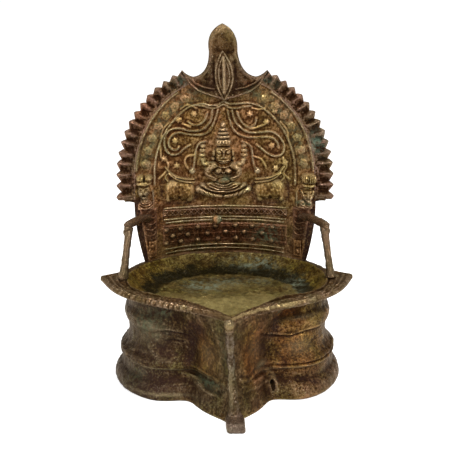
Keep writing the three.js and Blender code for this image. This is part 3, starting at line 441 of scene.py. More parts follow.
# Pale floor: white to the camera outside the lamp's hollow foot, and under the lamp's shadow
def addFloor():
    mesh = bpy.data.meshes.new("floor")
    reach = stage["half"]
    mesh.from_pydata([(-reach, -reach, 0), (reach, -reach, 0), (reach, reach, 0), (-reach, reach, 0)], [],
                     [(0, 1, 2, 3)])
    floor = bpy.data.objects.new("floor", mesh)
    floor.location = (0, 0, -stage["gap"])
    scene.collection.objects.link(floor)
    material = bpy.data.materials.new("paleFloor")
    material.use_nodes = True
    shader = material.node_tree.nodes["Principled BSDF"]
    shader.inputs["Base Color"].default_value = (0.9, 0.9, 0.9, 1)
    shader.inputs["Roughness"].default_value = 0.9
    shader.inputs["Emission Color"].default_value = (1, 1, 1, 1)
    tree = material.node_tree
    away = tree.nodes.new("ShaderNodeVectorMath")
    away.operation = "DISTANCE"
    away.inputs[1].default_value = (0, axisShift / millimetres, 0)
    tree.links.new(tree.nodes.new("ShaderNodeTexCoord").outputs["Object"], away.inputs[0])
    outside = mathNode(tree, "GREATER_THAN", away.outputs["Value"], stage["dark"])
    seen = tree.nodes.new("ShaderNodeLightPath").outputs["Is Camera Ray"]
    glow = mathNode(tree, "MULTIPLY", mathNode(tree, "MULTIPLY", seen, outside), stage["glow"])
    tree.links.new(glow, shader.inputs["Emission Strength"])
    mesh.materials.append(material)


def addWorld():  # plain light on the lamp, white to the camera
    world = bpy.data.worlds.new("studio")
    scene.world = world
    world.use_nodes = True
    nodes, links = world.node_tree.nodes, world.node_tree.links
    background = nodes["Background"]
    background.inputs["Color"].default_value = (1, 1, 1, 1)
    path = nodes.new("ShaderNodeLightPath")
    strength = nodes.new("ShaderNodeMapRange")
    strength.inputs["To Min"].default_value = stage["worldLow"]
    strength.inputs["To Max"].default_value = stage["worldHigh"]
    links.new(path.outputs["Is Camera Ray"], strength.inputs["Value"])
    links.new(strength.outputs["Result"], background.inputs["Strength"])


def addLamp(name, position, size, power):  # round area light, turned to the middle of the lamp
    light = bpy.data.lights.new(name, "AREA")
    light.shape = "DISK"
    light.size = size
    light.energy = power
    lamp = bpy.data.objects.new(name, light)
    lamp.location = position
    lamp.rotation_euler = (Vector(stage["aim"]) - Vector(position)).to_track_quat("-Z", "Y").to_euler()
    scene.collection.objects.link(lamp)


addFloor()
addWorld()
for name, (position, size, power) in stage["lights"].items():
    addLamp(name, position, size, power)
print("stage, camera and lights")

# Pedestal: the same sizes as the solid
ped = {"height": 54, "foot": 65.2, "band": 61, "bead": 62.2, "beadHigh": 2.4, "bandTop": 21.4, "waist": 56.8,
       "waistAt": 29, "roll": 59.6, "rollLow": 36.2, "rollHigh": 43.6, "neck": 57, "neckAt": 46.5,
       "seat": 59.5, "wall": 2.8, "reach": 19.5, "coreReach": 9, "noseAngle": 9 * degree, "plinth": 2.2,
       "plinthTop": 16.6, "turns": 420,
       "hollow": [(56.7, 54), (55.8, 51), (54.2, 46.5), (54, 40), (54, 33), (54, 27), (58.2, 19.4),
                  (58.2, 14.5), (58.2, 10), (59.4, 6), (60.2, 2), (60.2, 0)]}
castingHole = {"angle": 27.2 * degree, "height": 8.3, "halfHigh": 3.3, "halfWide": 1.35}


# Nose by an exponential of the angle, less the bell-shaped fold beside it
def frontPull(angle, height, reach):
    level = np.clip(height / ped["height"], 0, 1)
    fold = mix(12, 8.5, level) * hill(angle, mix(26, 35, level) * degree, mix(12, 22, level) * degree)
    return reach * np.exp(-angle / ped["noseAngle"]) - fold


def noseLine(height):  # straight from foot to seat, hollowed by half a sine wave
    level = height / ped["height"]
    return mix(ped["foot"] - 1.2, ped["seat"], level) - 5 * np.sin(math.pi * level)


def drumShare(angle, height):  # 1 on the round drum, 0 on the nose
    centre = mix(26, 35, height / ped["height"]) * degree
    return smoothStep(angle, centre * 0.72, centre * 1.2)


# The nose's faces stand back over the plinth and come forward again at the rim
def plinthSetback(angle, height):
    over = smoothStep(height, ped["plinthTop"] - 1.4, ped["plinthTop"])
    under = 1 - smoothStep(height, ped["rollLow"] - 4, ped["neckAt"])
    beside = 1 - np.exp(-(angle / ped["noseAngle"]) ** 2)
    return ped["plinth"] * over * under * beside * (1 - drumShare(angle, height))


def turnAngles(count):  # even turn, closer together toward the nose
    even = np.arange(count) * fullTurn / count
    return even - 0.5 * np.sin(even)


def turned(profile, plan, turns):  # profile of (radius, height) at each angle, drawn out by plan()
    angles = turnAngles(turns)
    radius, height = profile[:, 0][:, None], profile[:, 1][:, None]
    apart = np.minimum(angles, fullTurn - angles)[None, :]
    reach = plan(radius, apart, height)
    z = np.broadcast_to(height, reach.shape)
    return np.stack([reach * np.sin(angles), -reach * np.cos(angles), z], -1)


def pedestalOuter():  # flared foot, band, double beading, waist, soft roll and neck
    band, top, step, waist, roll = ped["band"], ped["bandTop"], ped["beadHigh"], ped["waist"], ped["roll"]
    bends = [
        ((ped["foot"] - 2, 0), (ped["foot"], 0.4), (ped["foot"], 3), 8),
        ((ped["foot"], 3), (ped["foot"] - 0.2, 7.5), (band + 0.7, 10), 14),
        ((band + 0.7, 10), (band, 10.5), (band, 12.5), 6),
        ((band, 12.5), (band, 14.5), (band + 0.2, ped["plinthTop"]), 12),
        ((band + 0.2, top - 2 * step), (ped["bead"] + 0.5, top - 1.5 * step), (band + 0.2, top - step), 12),
        ((band + 0.2, top - step), (ped["bead"] + 0.5, top - 0.5 * step), (band, top), 12),
        ((band, top), (waist + 0.8, top + 2), (waist, ped["waistAt"]), 18),
        ((waist, ped["waistAt"]), (waist + 0.1, 33), (roll - 2.2, ped["rollLow"] - 0.6), 14),
        ((roll - 2.2, ped["rollLow"] - 0.6), (roll + 1.2, 39.3), (roll - 1.4, ped["rollHigh"]), 20),
        ((roll - 1.4, ped["rollHigh"]), (ped["neck"], 45), (ped["neck"], ped["neckAt"]), 7),
        ((ped["neck"], ped["neckAt"]), (ped["neck"], 52), (ped["seat"], 54), 12),
    ]
    return np.vstack([bendPoints(*bend)[min(number, 1):] for number, bend in enumerate(bends)])


# Nose line or drum radius by drumShare, less the setback, plus the nose's pull
def pedestalPlan(radius, angle, height):
    return (mix(noseLine(height), radius, drumShare(angle, height)) - plinthSetback(angle, height)
            + frontPull(angle, height, ped["reach"]))


def corePlan(radius, angle, height):  # the hollow opens out toward the nose where the pan lies over it
    reach = mix(ped["coreReach"], ped["reach"], smoothStep(height, 40, 50))
    behindFace = np.minimum(radius, noseLine(height) - ped["wall"])
    return (mix(behindFace, radius, drumShare(angle, height)) - plinthSetback(angle, height)
            + frontPull(angle, height, reach))


def angleSpot(angle, height, where, size):  # bell-shaped spot at an angle and height, in degrees and mm
    return hill(angle, where[0], size[0]) * hill(height, where[1], size[1])


# Bell of the distance to a line of (degrees, height) points, 1 on it
def scoreLine(angle, height, line, width):
    distances = [nearestOn(angle, height, start, end)[1] for start, end in zip(line[:-1], line[1:])]
    return hill(np.minimum.reduce(distances), 0, width)


# Marks of casting and use on the outer wall: (points of the line, width, height in mm)
wallMarks = [
    ([(-45.4, 36.4), (-38.8, 37.4), (-30.5, 36.4)], 0.55, -0.5),
    ([(-43.7, 32.0), (-38, 32.3), (-33, 32.2)], 0.5, -0.4),
    ([(-48, 38.5), (-40, 39.2), (-32, 38.4)], 0.8, 0.25),
    ([(-62, 4.4), (-48.6, 3.8), (-36, 3.5), (-30, 3.6)], 0.6, 0.35),
    ([(-29.4, 15.6), (-29.2, 9), (-28, 3)], 0.6, -0.12),
    ([(-54, 28), (-50, 25), (-45, 22.5), (-38, 21.5)], 1.0, 0.3),
    ([(-57, 33), (-50, 30), (-44, 27)], 1.2, -0.22),
    ([(3.9, 20.0), (9, 16.8), (15, 18.5), (20, 17.8), (26.5, 16.4), (29.4, 13.6), (29.9, 9.3)], 0.9, 0.3),
    ([(4.5, 21.5), (9, 18.6), (15, 20.4), (21, 19.6), (28, 18.0)], 0.9, -0.3),
    ([(25.5, 13.4), (28, 12.6), (30.5, 11)], 0.9, 0.2),
    ([(26.7, 37.0), (31.5, 36.7), (42, 35.0), (50, 36.8), (62, 37.4)], 0.6, 0.45),
    ([(30, 35.2), (42, 33.6), (50, 35.3)], 0.6, -0.3),
    ([(33, 26), (36, 22), (35, 18.5)], 1.4, -0.3),
    ([(8, 12.6), (16, 11.6), (24, 11.4)], 0.7, 0.2),
    ([(-22, 12), (-15, 10.6), (-6, 10.8)], 0.8, 0.2),
    ([(-70, 22), (-60, 24.5), (-52, 24)], 0.8, 0.2),
    ([(60, 30), (52, 26), (47, 25)], 1.0, -0.2),
    ([(20, 38), (27, 36), (33, 37.5)], 1.2, -0.3),
]
# Dents and one low bump: (degrees, height), their spreads, and the height in mm
wallDents = [((-42, 24.5), (5, 2.2), 0.5), ((-47.9, 5.7), (1.2, 1.4), -0.4),
             ((45, 10.6), (2, 1.0), -0.35), ((49.6, 8.4), (1.6, 0.9), -0.3)]


def leftStep(angle, height):  # on the left face the plinth's edge falls toward the keel
    edge = 16.6 - 5.5 * smoothStep(angle, -30, -9)
    window = smoothStep(angle, -33, -27) * (1 - np.exp(-(angle / 11) ** 2)) * (angle < 0)
    return window * smoothStep(height, edge - 1.2, edge + 1.2) * (1 - smoothStep(height, 15.6, 17.6))


def wallRelief(angle, height, points):  # three waves of unevenness, the marks, the step and a few dents
    level = (0.28 * unevenness(points, 30, 3) + 0.16 * unevenness(points, 9, 4)
             + 0.1 * unevenness(points, 3.6, 5))
    for line, width, lift in wallMarks:
        level = level + 1.5 * lift * scoreLine(angle, height, line, width)
    level -= 1.7 * leftStep(angle, height)
    level += (0.6 * hill(height, 19.0, 0.6) * smoothStep(-angle, 4, 14) * smoothStep(angle, -160, -110)
              + 0.25 * hill(height, 17.0, 0.45) * hill(angle, -46, 18))
    for where, size, lift in wallDents:
        level += lift * angleSpot(angle, height, where, size)
    return level


def pedestalShell():  # outer and inner profile turned, the relief added along the outer normals
    outer = turned(pedestalOuter(), pedestalPlan, ped["turns"])
    core = turned(curveThrough(ped["hollow"], 40), corePlan, ped["turns"])
    angle = np.arctan2(outer[..., 0], -outer[..., 1]) / degree
    height = outer[..., 2]
    level = wallRelief(angle, height, outer) - 0.25
    level = np.minimum(level, 0.8) * smoothStep(np.hypot(outer[..., 0], outer[..., 1]), 30, 32)
    normals = np.cross(np.roll(outer, -1, axis=1) - np.roll(outer, 1, axis=1), np.gradient(outer, axis=0))
    normals /= np.linalg.norm(normals, axis=2)[..., None]
    edge = smoothStep(height, 0, 1.5) * (1 - smoothStep(height, ped["height"] - 1.5, ped["height"]))
    away = np.sign((normals[..., :2] * outer[..., :2]).sum(-1).mean())
    outer = outer + away * normals * (level * (0.25 + 0.75 * edge))[..., None]
    outer[..., 2] = np.clip(outer[..., 2], 0, ped["height"])
    return closedRing(np.concatenate([outer, core]))


def cutHole(shell):  # casting hole at the foot of the right fold, through the wall
    turn = np.linspace(0, fullTurn, 28, endpoint=False)
    high = castingHole["halfHigh"] + 0.35 * np.sin(2 * turn + 0.6)
    wide = castingHole["halfWide"] + 0.35 * np.sin(turn + 0.4) + 0.15 * np.sin(3 * turn)
    c, s = math.cos(castingHole["angle"]), math.sin(castingHole["angle"])
    side, out, up = np.array([c, s, 0]), np.array([s, -c, 0]), np.array([0, 0, 1.0])
    ring = (wide * np.cos(turn) + 0.25 * np.sin(turn))[:, None] * side + (high * np.sin(turn))[:, None] * up
    cutter = closedTube(np.stack([out * reach + ring + up * castingHole["height"]
                                  for reach in (30.0, 50.0, 70.0)]))
    body = []
    for number, (points, faces) in enumerate((shell, cutter)):
        mesh = bpy.data.meshes.new("whole" + str(number))
        mesh.from_pydata(points.tolist(), [], polygons(outward(points, faces)))
        body.append(bpy.data.objects.new("whole" + str(number), mesh))
        scene.collection.objects.link(body[-1])
    cut = body[0].modifiers.new("cut", "BOOLEAN")
    cut.operation, cut.solver, cut.object = "DIFFERENCE", "EXACT", body[1]
    bpy.context.view_layer.update()
    result = body[0].evaluated_get(bpy.context.evaluated_depsgraph_get()).to_mesh()
    points = np.array([vertex.co[:] for vertex in result.vertices])
    faces = []
    for polygon in result.polygons:
        corner = list(polygon.vertices)
        if len(corner) == 4:
            faces.append(corner)
        else:
            faces += [[corner[0], corner[k], corner[k + 1], -1] for k in range(1, len(corner) - 1)]
    for piece in body:
        mesh = piece.data
        bpy.data.objects.remove(piece)
        bpy.data.meshes.remove(mesh)
    return points, np.array(faces)


# Colours of the outer wall: (strength, (degrees, height), their spreads)
wallSpots = {
    "purple": [(1, (-25, 34), (5, 10)), (1, (-20, 43), (6, 4)), (0.8, (20, 30), (7, 6)),
               (1, (31, 42), (3, 6)), (0.6, (-28, 22), (3, 5))],
    "stain": [(1, (-47.9, 5.7), (1.8, 2)), (0.8, (45, 10.6), (3, 1.2)), (0.8, (49.6, 8.4), (2.4, 1.2)),
              (0.5, (27, 8), (2.6, 5)), (0.35, (-50, 24), (16, 2.5))],
    "copper": [(0.9, (14, 33), (6, 12)), (0.8, (-16, 30), (6, 11)), (0.4, (42, 30), (9, 9)),
               (0.9, (40, 47), (9, 5)), (0.6, (20, 22), (6, 3)), (0.5, (-22, 44), (9, 6)),
               (0.4, (22, 19), (9, 4)), (0.4, (-36, 45), (8, 5)), (0.5, (10, 34), (6, 14))],
    "gold": [(1.6, (-13, 29), (7, 11)), (0.8, (13, 34), (6, 14)), (0.8, (46, 29), (12, 7)),
             (0.9, (9, 30), (4, 14)), (0.4, (40, 48), (14, 4))],
    # Pale: the narrow bands along the moulding edges, at heights 4, 17 and 44, are painted highlights
    "pale": [(0.25, (-13, 29), (5, 8)), (0.15, (14, 34), (5, 12)), (0.12, (-58, 32), (7, 6)),
             (0.5, (20, 21), (4, 2)), (0.12, (-50, 40), (5, 4)), (0.3, (48, 28), (9, 5)),
             (0.35, (-38, 4), (16, 0.8)), (0.4, (-46, 17), (15, 0.5)), (0.35, (45, 17.4), (16, 0.6)),
             (0.3, (48, 44), (14, 1)), (0.1, (-52, 37), (8, 6))],
    "green": [(0.7, (-12, 15), (7, 3)), (0.6, (-44.6, 48.2), (3, 2)), (0.5, (-55, 40), (10, 8)),
              (0.3, (-3, 38), (3, 10)), (0.3, (-60, 12), (10, 5)), (0.4, (33, 50), (3, 2))],
}


def pedestalPaint(x, y, z):  # sums of the bell-shaped spots and the score lines, bands of painted shade under the mouldings, painted shade on the left side and painted light on the right drum
    angle = np.arctan2(x, -y) / degree
    outside = np.hypot(x, y) > 30
    fade = smoothStep(175 - np.abs(angle), 0, 50)
    left, right = smoothStep(-angle, 4, 14) * fade, smoothStep(angle, 4, 14) * fade
    spots = {word: sum(strength * angleSpot(angle, z, where, size) for strength, where, size in places)
             for word, places in wallSpots.items()}
    cut = sum(scoreLine(angle, z, line, width * 1.4) * -lift for line, width, lift in wallMarks if lift < 0)
    raised = sum(scoreLine(angle, z, line, width) * lift for line, width, lift in wallMarks if lift > 0)
    # Besides the spots and cut lines: painted shade in thin bands under the plinth's top, the band's top and
    # the bowl's rim, and over the left side and the far right side
    stain = spots["stain"] + 1.4 * spots["purple"] + 1.3 * cut + 0.2 * hill(z, 15.6, 1.2)
    stain += 0.3 * hill(z, 20.2, 0.7) * right + 0.3 * hill(z, 52, 3) * left
    stain += fade * (0.8 * smoothStep(-angle, 22, 46) + 0.15 * smoothStep(angle, 55, 85))
    stain += 0.55 * smoothStep(16 - z, 0, 5) * (left + 0.7 * right)
    red = spots["copper"] + 0.4 * right + 0.4 * spots["purple"]
    # Painted light: the right drum golder above the plinth
    gold = spots["gold"] + 0.45 * smoothStep(angle, 22, 40) * fade * smoothStep(z, 12, 18)
    gold += 0.4 * hill(z, 1.6, 1.6) + 0.3 * hill(z, 18.8, 0.8)
    return {"stain": np.clip(stain, 0, 1.25) * outside, "copper": np.clip(red, 0, 1) * outside,
            "gold": np.clip(gold, 0, 0.9), "green": np.clip(spots["green"], 0, 0.9),
            "pale": np.clip(spots["pale"] + 0.35 * raised, 0, 0.6) * outside}


addPiece("pedestalBody", cutHole(pedestalShell()), brass["body"], ["pedestal"], wearReach=1.6,
         paint=pedestalPaint)
print("pedestal")

# Bowl: pan and leaf-pointed rim
bowl = {"rimTop": 57.5, "cavity": 57.5, "floor": 48, "panWall": 2.6, "back": 61.2, "front": 59.2,
        "spoutTip": 78.2, "leafTip": 73.6, "leafAngle": 95 * degree, "turns": 900}


def rimEdge(angle):  # a power of the smooth step behind the leaf point, a bell and two exponentials before it
    fall = smoothStep(angle, bowl["leafAngle"], bowl["leafAngle"] + 14 * degree) ** 0.5
    behind = mix(bowl["leafTip"], bowl["back"], fall)
    spout = (bowl["spoutTip"] - bowl["front"]) * np.exp(-angle / (9 * degree))
    apart = np.maximum(bowl["leafAngle"] - angle, 0)
    swell = 0.68 * hill(apart, 0, 40 * degree) + 0.32 * np.exp(-apart / (7 * degree))
    before = bowl["front"] + spout + (bowl["leafTip"] - bowl["front"]) * swell
    return np.where(angle > bowl["leafAngle"], behind, before)


# The nose's pull by the cube of the radius inside, then a straight mix out to the rim's edge
def bowlPlan(radius, angle, height):
    pull = frontPull(angle, ped["height"], ped["reach"])
    inside = radius + pull * (radius / bowl["cavity"]) ** 3
    across = (radius - bowl["cavity"]) / (bowl["back"] - bowl["cavity"])
    flange = mix(bowl["cavity"] + pull, rimEdge(angle), across)
    return np.where(radius <= bowl["cavity"], inside, flange)


def dishProfile(offset, count):  # two quadratic curves from the lip to the middle of the floor
    upper = bendPoints((bowl["cavity"] - 1.2, bowl["rimTop"] - 1.2),
                       (bowl["cavity"] * 0.85, bowl["floor"] + 1.4),
                       (bowl["cavity"] * 0.74, bowl["floor"] + 0.4), count)
    lower = bendPoints((bowl["cavity"] * 0.74, bowl["floor"] + 0.4), (bowl["cavity"] * 0.5, bowl["floor"]),
                       (0.4, bowl["floor"]), count)
    return np.vstack([upper, lower[1:]]) - np.array([0, offset])


# From under the pan round the flange's edge to the middle of the dish, and the row where the dish begins
def bowlProfile():
    under = dishProfile(bowl["panWall"], 10)[::-1]
    under = under[under[:, 0] < 53.3]
    flange = np.linspace(bowl["back"], bowl["cavity"], 18)
    outerEdge = bendPoints((61.0, 54), (61.6, 55.6), (61.0, 57.3), 8)
    lip = bendPoints((bowl["cavity"], bowl["rimTop"]), (57.0, 57.5), (56.3, 56.3), 5)
    outside = np.vstack([under, [(55.3, 52.4), (55.3, 54)],
                         np.stack([np.linspace(56, 60.9, 5), np.full(5, 54)], 1), outerEdge,
                         np.stack([flange[1:], np.full(17, bowl["rimTop"])], 1)])
    return np.vstack([outside, lip[1:], dishProfile(0, 22)[1:]]), len(outside)


def bowlShell():  # turned profile, with lines and beads on the rim and waves in the dish
    profile, _ = bowlProfile()
    rings = turned(profile, bowlPlan, bowl["turns"])
    radius = profile[:, 0][:, None]
    top = (profile[:, 1] > 57.4)[:, None] * (radius > bowl["cavity"])
    x, y = rings[..., 0], rings[..., 1]
    angle = np.abs(np.arctan2(x, -y))
    across = (radius - bowl["cavity"]) / (bowl["back"] - bowl["cavity"])
    width = rimEdge(angle) - bowl["cavity"] - frontPull(angle, ped["height"], ped["reach"])
    wide = smoothStep(width, 4, 8)
    lines = 0.6 * hill(across, 0.9, 0.06) + 0.45 * hill(across, 0.66, 0.05) + 0.4 * hill(across, 0.42, 0.05)
    drop = wide * (0.55 - lines) + 0.4 * smoothStep(np.abs(across - 0.5), 0.3, 0.5)
    drop -= 0.25 * unevenness(rings, 7, 9) + 0.16 * unevenness(rings, 2.8, 10)
    edge = smoothStep(radius, 59.9, 60.9) * (profile[:, 1] > 54.2)[:, None]
    beaded = smoothStep(-x, 17, 24) * smoothStep(78 * degree - angle, 0, 10 * degree)
    beads = beaded * (np.abs(np.cos(angle * 50 + 0.5 * np.sin(angle * 23))) ** 0.7 - 0.6)
    beads += 0.45 * (x > 0) * unevenness(rings, 5.5, 11) * (angle < 70 * degree)
    rings[..., 2] -= top * (drop - 0.9 * edge * beads)
    rings[..., :2] *= 1 + (edge * (1.1 * beads - 0.3 * beaded) / 62)[..., None]
    dish = (radius <= bowl["cavity"]) & (profile[:, 1] > 47.5)[:, None]
    rings[..., 2] += dish * (0.35 * unevenness(rings, 26, 8) + 0.15 * unevenness(rings, 6, 12)
                             + 0.1 * unevenness(rings, 2.6, 13) - 0.7 * hill(radius, 43, 3))
    return closedTube(rings)


# Dark ring, crust, pale oily floor and a painted glint in the dish, painted highlight with rubbed metal on
# the lip right of the spout
def bowlPaint(x, y, z):
    points = np.stack([x, y, z], -1)
    profile, dishRow = bowlProfile()
    row = np.minimum(np.arange(len(points)) // bowl["turns"], len(profile) - 1)
    dish = row >= dishRow
    radius = profile[row, 0]
    blots = np.clip(0.5 + 0.6 * unevenness(points, 8, 14) + 0.4 * unevenness(points, 3, 16), 0, 1)
    back = smoothStep(y, -30, 10)
    ring = hill(radius, 45.5 + 1.8 * unevenness(points, 10, 15), 2.2 + 2.0 * back) * smoothStep(y, -24, -4)
    ring *= 0.55 + 0.6 * blots
    crust = hill(x, -13, 9) * hill(y, 14, 10) + 0.6 * hill(x, 18, 12) * hill(radius, 52, 4) * back
    crust += 0.7 * hill(x, 41, 4) * hill(y, 12, 12) + 0.5 * hill(y, 24, 7) * hill(x, 4, 24)
    crust += 0.3 * hill(x, -30, 9) * hill(y, -22, 7)
    tan = (1 - smoothStep(y, -22, 8)) * (1 - smoothStep(radius, 36, 41))
    tan += 0.4 * hill(x, 2, 20) * hill(y, 14, 9)
    mottle = np.clip(unevenness(points, 4, 21) + 0.7 * unevenness(points, 9, 22), 0, 0.8)
    mottle *= 1 - smoothStep(radius, 44, 50)
    dishStain = 2.8 * ring + 0.9 * mottle + 0.4 * back * smoothStep(radius, 49, 52) * blots
    # The small pale spot at the front of the floor is a painted glint
    dishPale = (0.4 + 0.45 * blots) * tan + 0.8 * hill(x, -1.5, 1.2) * hill(y, -14, 3)
    edge = smoothStep(radius, 60.2, 61)
    # Darker along one flange line and on the lower half of the outer edge
    rimDarkening = 0.25 * hill(radius, 59, 0.7) + 0.5 * edge * smoothStep(55.8 - z, 0, 0.8)
    # Painted highlight, with rubbed metal, on the upper outer edge right of the spout
    rubbed = edge * smoothStep(x, -6, 2) * (y < -30) * (1 - smoothStep(x, 30, 48)) * smoothStep(z, 55.5, 56.4)
    return {"stain": np.where(dish, np.clip(dishStain, 0, 2.2), rimDarkening),
            "green": np.where(dish, np.clip(crust * (0.1 + 1.6 * blots), 0, 1), 0),
            "gold": np.where(dish, 0.7 * smoothStep(radius, 45, 50) * hill(np.abs(x), 50, 16), 0.8 * rubbed),
            "pale": np.where(dish, dishPale, 0.7 * rubbed), "copper": np.where(dish, 0, 0.15)}


oilBowl = addPiece("oilBowl", bowlShell(), brass["bowl"], ["oil_bowl"], wearReach=1.0, paint=bowlPaint)
oilBowl.data.materials.append(brass["rim"])
faceRow = np.arange(len(oilBowl.data.polygons)) // bowl["turns"]
oilBowl.data.polygons.foreach_set("material_index", (faceRow < bowlProfile()[1]).astype(np.int32))
print("bowl")

# Keel rib: leans a little, with the knob under the spout and the square toe
keel = {"half": 2.3, "stand": 3.6, "deep": 4, "knobLean": -1.5, "toeLean": 1.9, "toeHalf": 5.1,
        "toeReach": 95.5, "toeLevels": (0.0, 0.15, 0.6, 1.4, 2.4, 3.4, 4.1, 4.6, 4.9, 5.0),
        "toeInset": (0.6, 0.25, 0.05, 0, 0, 0.05, 0.2, 0.5, 1.0, 1.8)}


def noseTip(height):  # how far the nose reaches straight in front
    return noseLine(height) + frontPull(0, height, ped["reach"])


def lean(height):  # sideways place of the rib, by the 0.8th power of the height
    return mix(keel["toeLean"], keel["knobLean"], np.clip(height / 55, 0, 1) ** 0.8)


def loftedBlock(levels, halves, fronts, backs, power=4.0, columns=36):  # rounded squares stacked in height
    c, s, reach = roundedSquare(columns, power)
    rings = []
    for z, half, front, back in zip(levels, halves, fronts, backs):
        middle, deep = (front + back) / 2, (front - back) / 2
        rings.append(np.stack([half * reach * c + lean(z), -(middle + deep * reach * s),
                               np.full(columns, z)], -1))
    return closedTube(np.array(rings))


def ball(centre, radii, rows=14, columns=22):  # ellipsoid of stacked rings, closed at its poles
    down = np.linspace(0.12, math.pi - 0.12, rows)[:, None]
    turn = np.arange(columns)[None, :] * fullTurn / columns
    rings = np.stack([np.sin(down) * np.cos(turn), np.sin(down) * np.sin(turn),
                      np.cos(down) * np.ones_like(turn)], -1)
    return closedTube(rings * np.array(radii) + np.array(centre))


def keelShell():  # rib along the nose's tip with uneven front and sides, toe, knob and collar
    levels = np.linspace(0.1, 55.5, 90)
    tip = noseTip(levels)
    bulge = 0.35 * unevenness(np.stack([levels * 0, levels * 0, levels], -1), 9, 12)
    front = tip + keel["stand"] - 0.45 + bulge + 0.8 * hill(levels, 53, 2.5)
    half = keel["half"] * (1 + 0.1 * unevenness(np.stack([levels * 0, levels, levels], -1), 11, 5)) - 0.2
    half += 0.5 * hill(levels, 54, 3) + 0.5 * smoothStep(30 - levels, 0, 18) + 1.4 * hill(levels, 1.5, 5)
    rib = loftedBlock(levels, half, front, tip - keel["deep"], 2.6)
    inset = np.array(keel["toeInset"])
    toeFront = keel["toeReach"] - inset * 0.9
    toe = loftedBlock(keel["toeLevels"], keel["toeHalf"] - inset, toeFront, 78 + inset, 7)
    knobAt = bowl["spoutTip"] + 0.3 + 2.9
    knob = ball((keel["knobLean"], -knobAt + 0.15, 54.6), (2.75, 2.75, 3.1))
    collar = ball((keel["knobLean"] * 0.95, -knobAt + 1.6, 51.2), (2.5, 2.6, 1.5))
    return joinShells([rib, toe, knob, collar])


def keelPaint(x, y, z):  # painted shade on the right of the rib, painted highlights on its left and on the knob
    across = x - lean(z)
    stain = 0.4 * hill(z, 34, 5) + 0.2 * (1 - smoothStep(z, 5, 12))
    # Painted shade down the rib's right side
    stain += 0.4 * smoothStep(across, 0, 1.8) * hill(z, 18, 16)
    # Painted highlights: the knob's top, a line down the rib's left side, and the gold on the knob and the
    # rib's middle
    pale = 0.4 * hill(z, 55.5, 2) + 0.5 * hill(z, 20, 10) * hill(across, -0.9, 0.9) + 0.35 * hill(z, 40, 2)
    return {"stain": stain, "pale": pale, "gold": 0.9 * hill(z, 54, 3.5) + 0.4 * hill(z, 20, 12),
            "copper": 0.2 * (1 - smoothStep(z, 4, 14))}


addPiece("keelRib", keelShell(), brass["strut"], ["keel_rib"], wearReach=1.2, paint=keelPaint, roughness=0.12)
print("keel")

# Back plate and everything that lies on it. level is the height above the plate's front face.
plate = {"thick": 3, "foot": 48, "shoulder": 54.2, "shoulderAt": 93.5, "centre": 109, "half": 60, "rise": 59,
         "setback": 46, "bend": 38, "ease": 30}


# Distance behind the axis: a circle as wide as the bowl at the foot, flatter with height
def plateFront(x, z):
    rise = np.maximum(z - bowl["rimTop"], 0)
    foot = bowl["cavity"] + 0.4
    bend = np.exp(-(rise / plate["bend"]) ** 1.3) / foot
    centre = plate["setback"] + (foot - plate["setback"]) * np.exp(-rise / plate["ease"])
    return centre - (1 - np.sqrt(np.maximum(1 - (bend * x) ** 2, 0))) / bend


def laid(x, z, level):  # point at (x, z) on the plate's front, raised by the level
    x, z, level = np.broadcast_arrays(x, z, level)
    return np.stack([x, plateFront(x, z) - level, z], -1)


def archPoint(half, rise, angle):  # point of an ellipse about the plate's centre
    return half * np.cos(angle), plate["centre"] + rise * np.sin(angle)


def lineDistance(x, z, line):  # distance to the nearest piece of the line, and its share along it
    nearest, share = np.full(x.shape, 1e9), np.zeros(x.shape)
    for i in range(len(line) - 1):
        t, distance = nearestOn(x, z, line[i], line[i + 1])
        closer = distance < nearest
        nearest = np.where(closer, distance, nearest)
        share = np.where(closer, (i + t) / (len(line) - 1), share)
    return nearest, share


def rounded(value, top):  # half ellipse in section, going down on past its edge
    return top * np.sign(value) * np.sqrt(np.abs(value))


def cap(x, z, centre, radii, top, power=2.0):  # dome on an ellipse, or on a squarer plan
    across, up = (x - centre[0]) / radii[0], (z - centre[1]) / radii[1]
    return rounded(1 - np.abs(across) ** power - np.abs(up) ** power, top)


def button(x, z, centre, radii, top):  # the part of a dome above nought
    return top * np.maximum(cap(x, z, centre, radii, 1), 0)


def strand(x, z, line, radius, top, endRadius=None, count=16):  # rounded limb along a line
    distance, share = lineDistance(x, z, curveThrough(line, count))
    wide = mix(radius, radius if endRadius is None else endRadius, share)
    return rounded(1 - (distance / wide) ** 2, top * wide / radius)


def ridge(x, z, line, width, top, count=12):  # bell-shaped line, raised or cut in
    distance, _ = lineDistance(x, z, curveThrough(line, count))
    return top * np.exp(-(distance / width) ** 2)


def blend(parts, soft=0.25):  # smooth highest of several heights
    total = np.full(parts[0].shape, -60.0)
    for part in parts:
        total = np.logaddexp(total, part / soft)
    return total * soft


def reliefShell(xSpan, zSpan, step, height):  # raised form, closed with a sheet let into the plate
    root = -0.3
    x, z = np.meshgrid(np.arange(xSpan[0], xSpan[1] + step, step), np.arange(zSpan[0], zSpan[1] + step, step))
    level = height(x, z)
    keep = np.maximum.reduce([level[:-1, :-1], level[1:, :-1], level[:-1, 1:], level[1:, 1:]]) > 0.02
    return sheetShell(x, z, np.maximum(level, root), np.full(x.shape, 2 * root), keep)


